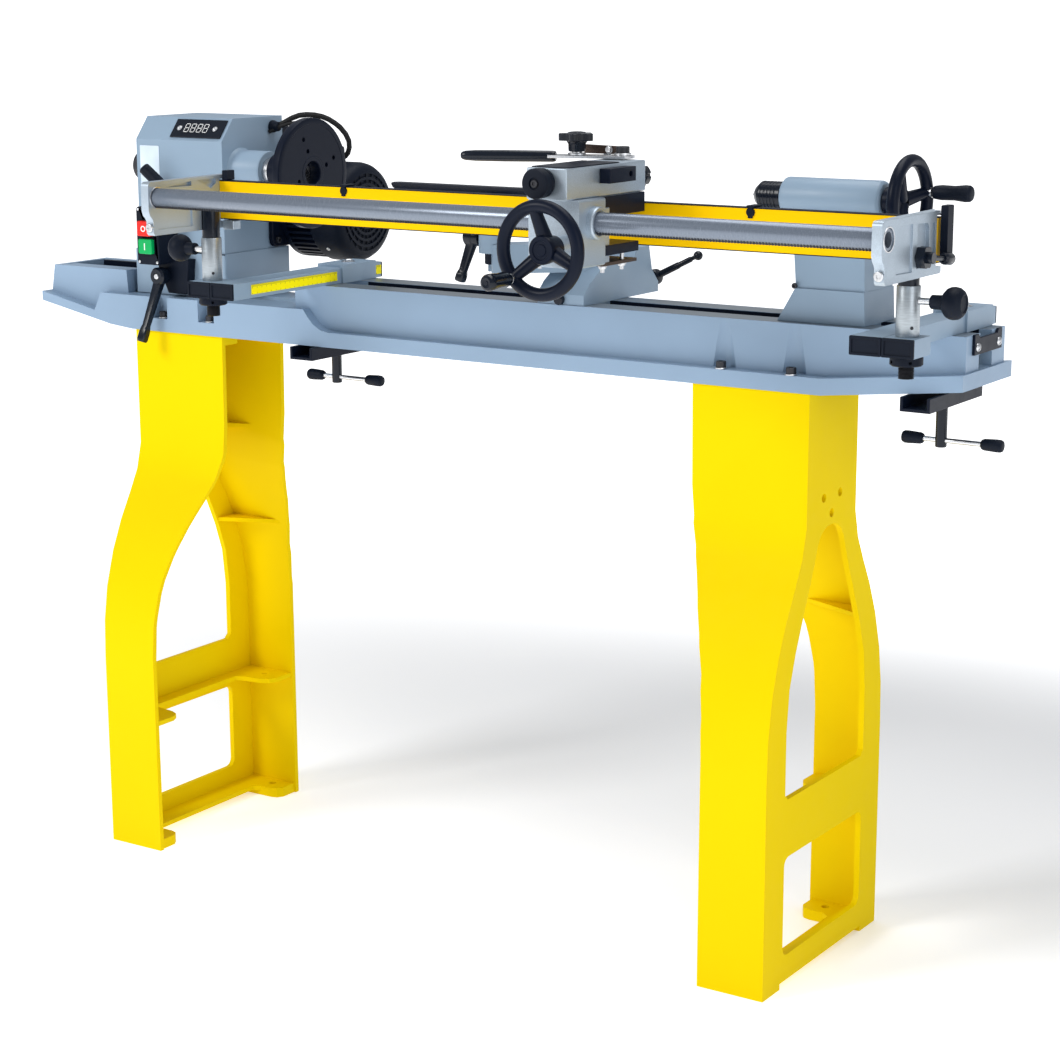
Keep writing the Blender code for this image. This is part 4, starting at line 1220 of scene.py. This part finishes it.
def feed_lever_details():
    """The sheet-metal arm with its long grip."""
    blade = prism(
        "Z",
        (
            (382, -225), (386, -216), (385, -206), (378, -200), (368, -200), (300, -226), (286, -231.5),
            (292, -257), (330, -243), (356, -233),
        ),
        1062.6, 1066,
    )
    cut(blade, rod("Z", 320, -234, 1060, 1080, 5.3, 32))
    stand_in("feed_lever", "feed_blade", blade, "steel", "feed_lever", 0.5, 2)
    washer = lathe((372, -213, 0), UP, ((1066, 10), (1066.4, 10.5), (1068.4, 10.5), (1068.8, 10)), 48)
    piece("feed_washer", washer, "steel", "feed_lever", 0.1)
    socket_screw("feed_screw", (372, -213, 1068.8), UP, 8.2, 8, "feed_lever", "oxide")
    piece("feed_pivot", rod("Z", 372, -213, 1052, 1064, 4, 24), "steel", "feed_lever")
    d = Vector((-0.93, -0.367, 0))
    profile = (
        (0, 0), (0, 5.4), (1, 6.2), (4, 6.8), (64, 7), (100, 6.6), (112, 5.8), (116, 4.8), (118, 3.2),
        (118, 0),
    )
    piece("feed_grip", spin((296, -243, 1064), d, profile, 40), "gloss", "feed_lever", angle=35)


def star_knob_details():
    """The star knob that clamps the cutting tool."""
    star = around(320, -234, 60, lambda k: 18.8 + 3.4 * cos(pi * k / 6))
    top = prism("Z", star, 1083, 1092)
    neck = lathe(
        (320, -234, 0), UP,
        ((1070, 9.6), (1071.4, 10.4), (1079, 10.6), (1083, 13), (1091.6, 13), (1093.4, 10), (1094, 6)), 48,
    )
    knob = weld(top, neck)
    stand_in("star_knob", "star_knob_head", knob, "gloss", "star_knob", 1.6, 4, 40)
    washer = lathe(
        (320, -234, 0), UP,
        ((1066.2, 10.6), (1066.6, 11), (1068.2, 11), (1068.6, 10.4), (1068.8, 6), (1070, 6)), 40,
    )
    piece("star_washer", washer, "steel", "star_knob", 0.1)
    piece("star_stud", rod("Z", 320, -234, 1062.6, 1068, 4.8, 24), "steel", "star_knob")
    piece("tool_holder", box(338, 347, -202.2, -199.4, 1055, 1066.6), "cast", "top_slide", 0.5)
    blade = prism("Y", ((313, 1066.4), (364, 1066.4), (364, 1075), (359, 1076), (313, 1077)), -206.6, -201)
    piece("cutting_tool", blade, "brown", "top_slide", 0.3, 2)
    hex_bolt("tool_bolt", (349, -206.6, 1071.6), FRONT, 4.4, 4, "top_slide", washer=5)


# --- bed clamps ---


def clamp_details():
    for side, x, low in (("left", -228, 754), ("right", 707.5, 766)):
        body = "clamp_screw_" + side
        screw = thread((x, CLAMP_Y, 715), UP, 5.2, 151, 1.75, 28)
        stand_in("clamp_screw_" + side, "clamp_thread_" + side, screw, "oxide", body)
        hub = lathe((x, CLAMP_Y, 0), UP, ((711, 6.4), (712, 7.2), (low - 1, 7.2), (low - 0.4, 6.6)), 48)
        cut(hub, rod("X", CLAMP_Y, 719.5, x - 20, x + 20, 3.2, 28))
        piece("clamp_hub_" + side, hub, "gloss", body, 0.4)
        piece("clamp_bar_" + side, rod("X", CLAMP_Y, 719.5, x - 42, x + 70, 3.2, 36), "steel", body)
        for s in (-1, 1):
            profile = (
                (38, 0), (38, 4.6), (39, 6), (42, 7.2), (58, 8), (63, 7.8), (65.4, 6.6), (66, 5), (66, 0),
            )
            grip = spin((x + 15, CLAMP_Y, 719.5), (s, 0, 0), profile, 40)
            piece(f"clamp_grip_{side}_{'a' if s < 0 else 'b'}", grip, "black", body, angle=35)


# --- studio ---

# Centre and stretch of the painted shadow on the floor: the floor's emission is zero there and rises outward.
PAINTED_SHADOW_CENTRE = (0.5, 0.9, 0)
PAINTED_SHADOW_STRETCH = (0.45, 1.2, 1)
FLOOR_HALF = 900


def light(name, energy, where, target, size, color=(1, 1, 1)):
    data = bpy.data.lights.new(name, "AREA")
    data.energy = energy
    data.color = color
    data.shape = "RECTANGLE"
    data.size, data.size_y = size
    obj = bpy.data.objects.new(name, data)
    obj.location = where
    direction = Vector(target) - Vector(where)
    obj.rotation_euler = direction.to_track_quat("-Z", "Y").to_euler()
    bpy.context.scene.collection.objects.link(obj)


def studio():
    scene = bpy.context.scene
    scene.view_settings.view_transform = "Standard"
    camera_data = bpy.data.cameras.new("camera")
    camera_data.sensor_width = 36
    camera_data.lens = 81.31
    camera_data.clip_end = 3000
    camera = bpy.data.objects.new("camera", camera_data)
    camera.location = P(1875.6, -2702.9, 1258.4)
    turn = Matrix.Rotation(radians(33.356), 3, "Z") @ Matrix.Rotation(radians(77.325), 3, "X")
    camera.rotation_euler = (turn @ Matrix.Rotation(radians(-0.194), 3, "Z")).to_euler()
    scene.collection.objects.link(camera)
    scene.camera = camera

    mesh = bpy.data.meshes.new("floor")
    corners = ((-1, -1), (1, -1), (1, 1), (-1, 1))
    mesh.from_pydata([(x * FLOOR_HALF, y * FLOOR_HALF, 0) for x, y in corners], [], [(0, 1, 2, 3)])
    floor = bpy.data.objects.new("floor", mesh)
    mat, tree, shader = surface("floor_white_painted_shadow", (0.9, 0.9, 0.905), 0.7, specular=0.1)
    # Painted shadow and painted glow: the floor's emission is zero round the shadow centre behind the machine
    # and rises to full strength farther out, so the floor glows white though it is no lamp.
    value = new_node(tree, "TexCoord").outputs["Object"]
    steps = (("SUBTRACT", PAINTED_SHADOW_CENTRE), ("MULTIPLY", PAINTED_SHADOW_STRETCH), ("LENGTH", None))
    for operation, constant in steps:
        step = new_node(tree, "VectorMath")
        step.operation = operation
        if constant:
            step.inputs[1].default_value = constant
        tree.links.new(value, step.inputs[0])
        value = step.outputs["Value" if operation == "LENGTH" else "Vector"]
    limits = {"From Min": 0.35, "From Max": 1.7, "To Min": 0.0, "To Max": 1.0}
    painted_shadow_glow = new_node(tree, "MapRange", limits)
    painted_shadow_glow.interpolation_type = "SMOOTHSTEP"
    tree.links.new(value, painted_shadow_glow.inputs["Value"])
    shader.inputs["Emission Color"].default_value = (1, 1, 1, 1)
    tree.links.new(painted_shadow_glow.outputs["Result"], shader.inputs["Emission Strength"])
    mesh.materials.append(mat)
    scene.collection.objects.link(floor)

    world = bpy.data.worlds.new("studio")
    world.use_nodes = True
    background = world.node_tree.nodes["Background"]
    background.inputs["Color"].default_value = (0.93, 0.96, 1, 1)
    background.inputs["Strength"].default_value = 0.42
    scene.world = world

    light("key", 86, (-1.9, -3.2, 3.0), (0, 0, 0.7), (1.4, 1.4), (1, 0.99, 0.97))
    light("fill", 22, (3.4, -1.6, 1.9), (0, 0, 0.8), (1.6, 2.0), (0.95, 0.97, 1))
    light("top", 42, (0.4, 0.5, 3.2), (0, 0, 0.6), (2.6, 1.4))


def write_sizes():
    """Updates the view layer; no sizes are written or compared."""
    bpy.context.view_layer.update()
    import json


dress_nodes()
bed_details()
headstock_details()
spindle_fittings()
headstock_controls()
drive_details()
motor_details()
fan_details()
tailstock_details()
quill_details()
rest_details()
bars_details()
posts_details()
gantry_details()
rail_details()
carriage_details()
stylus_details()
slide_details()
feed_lever_details()
star_knob_details()
clamp_details()
studio()
write_sizes()
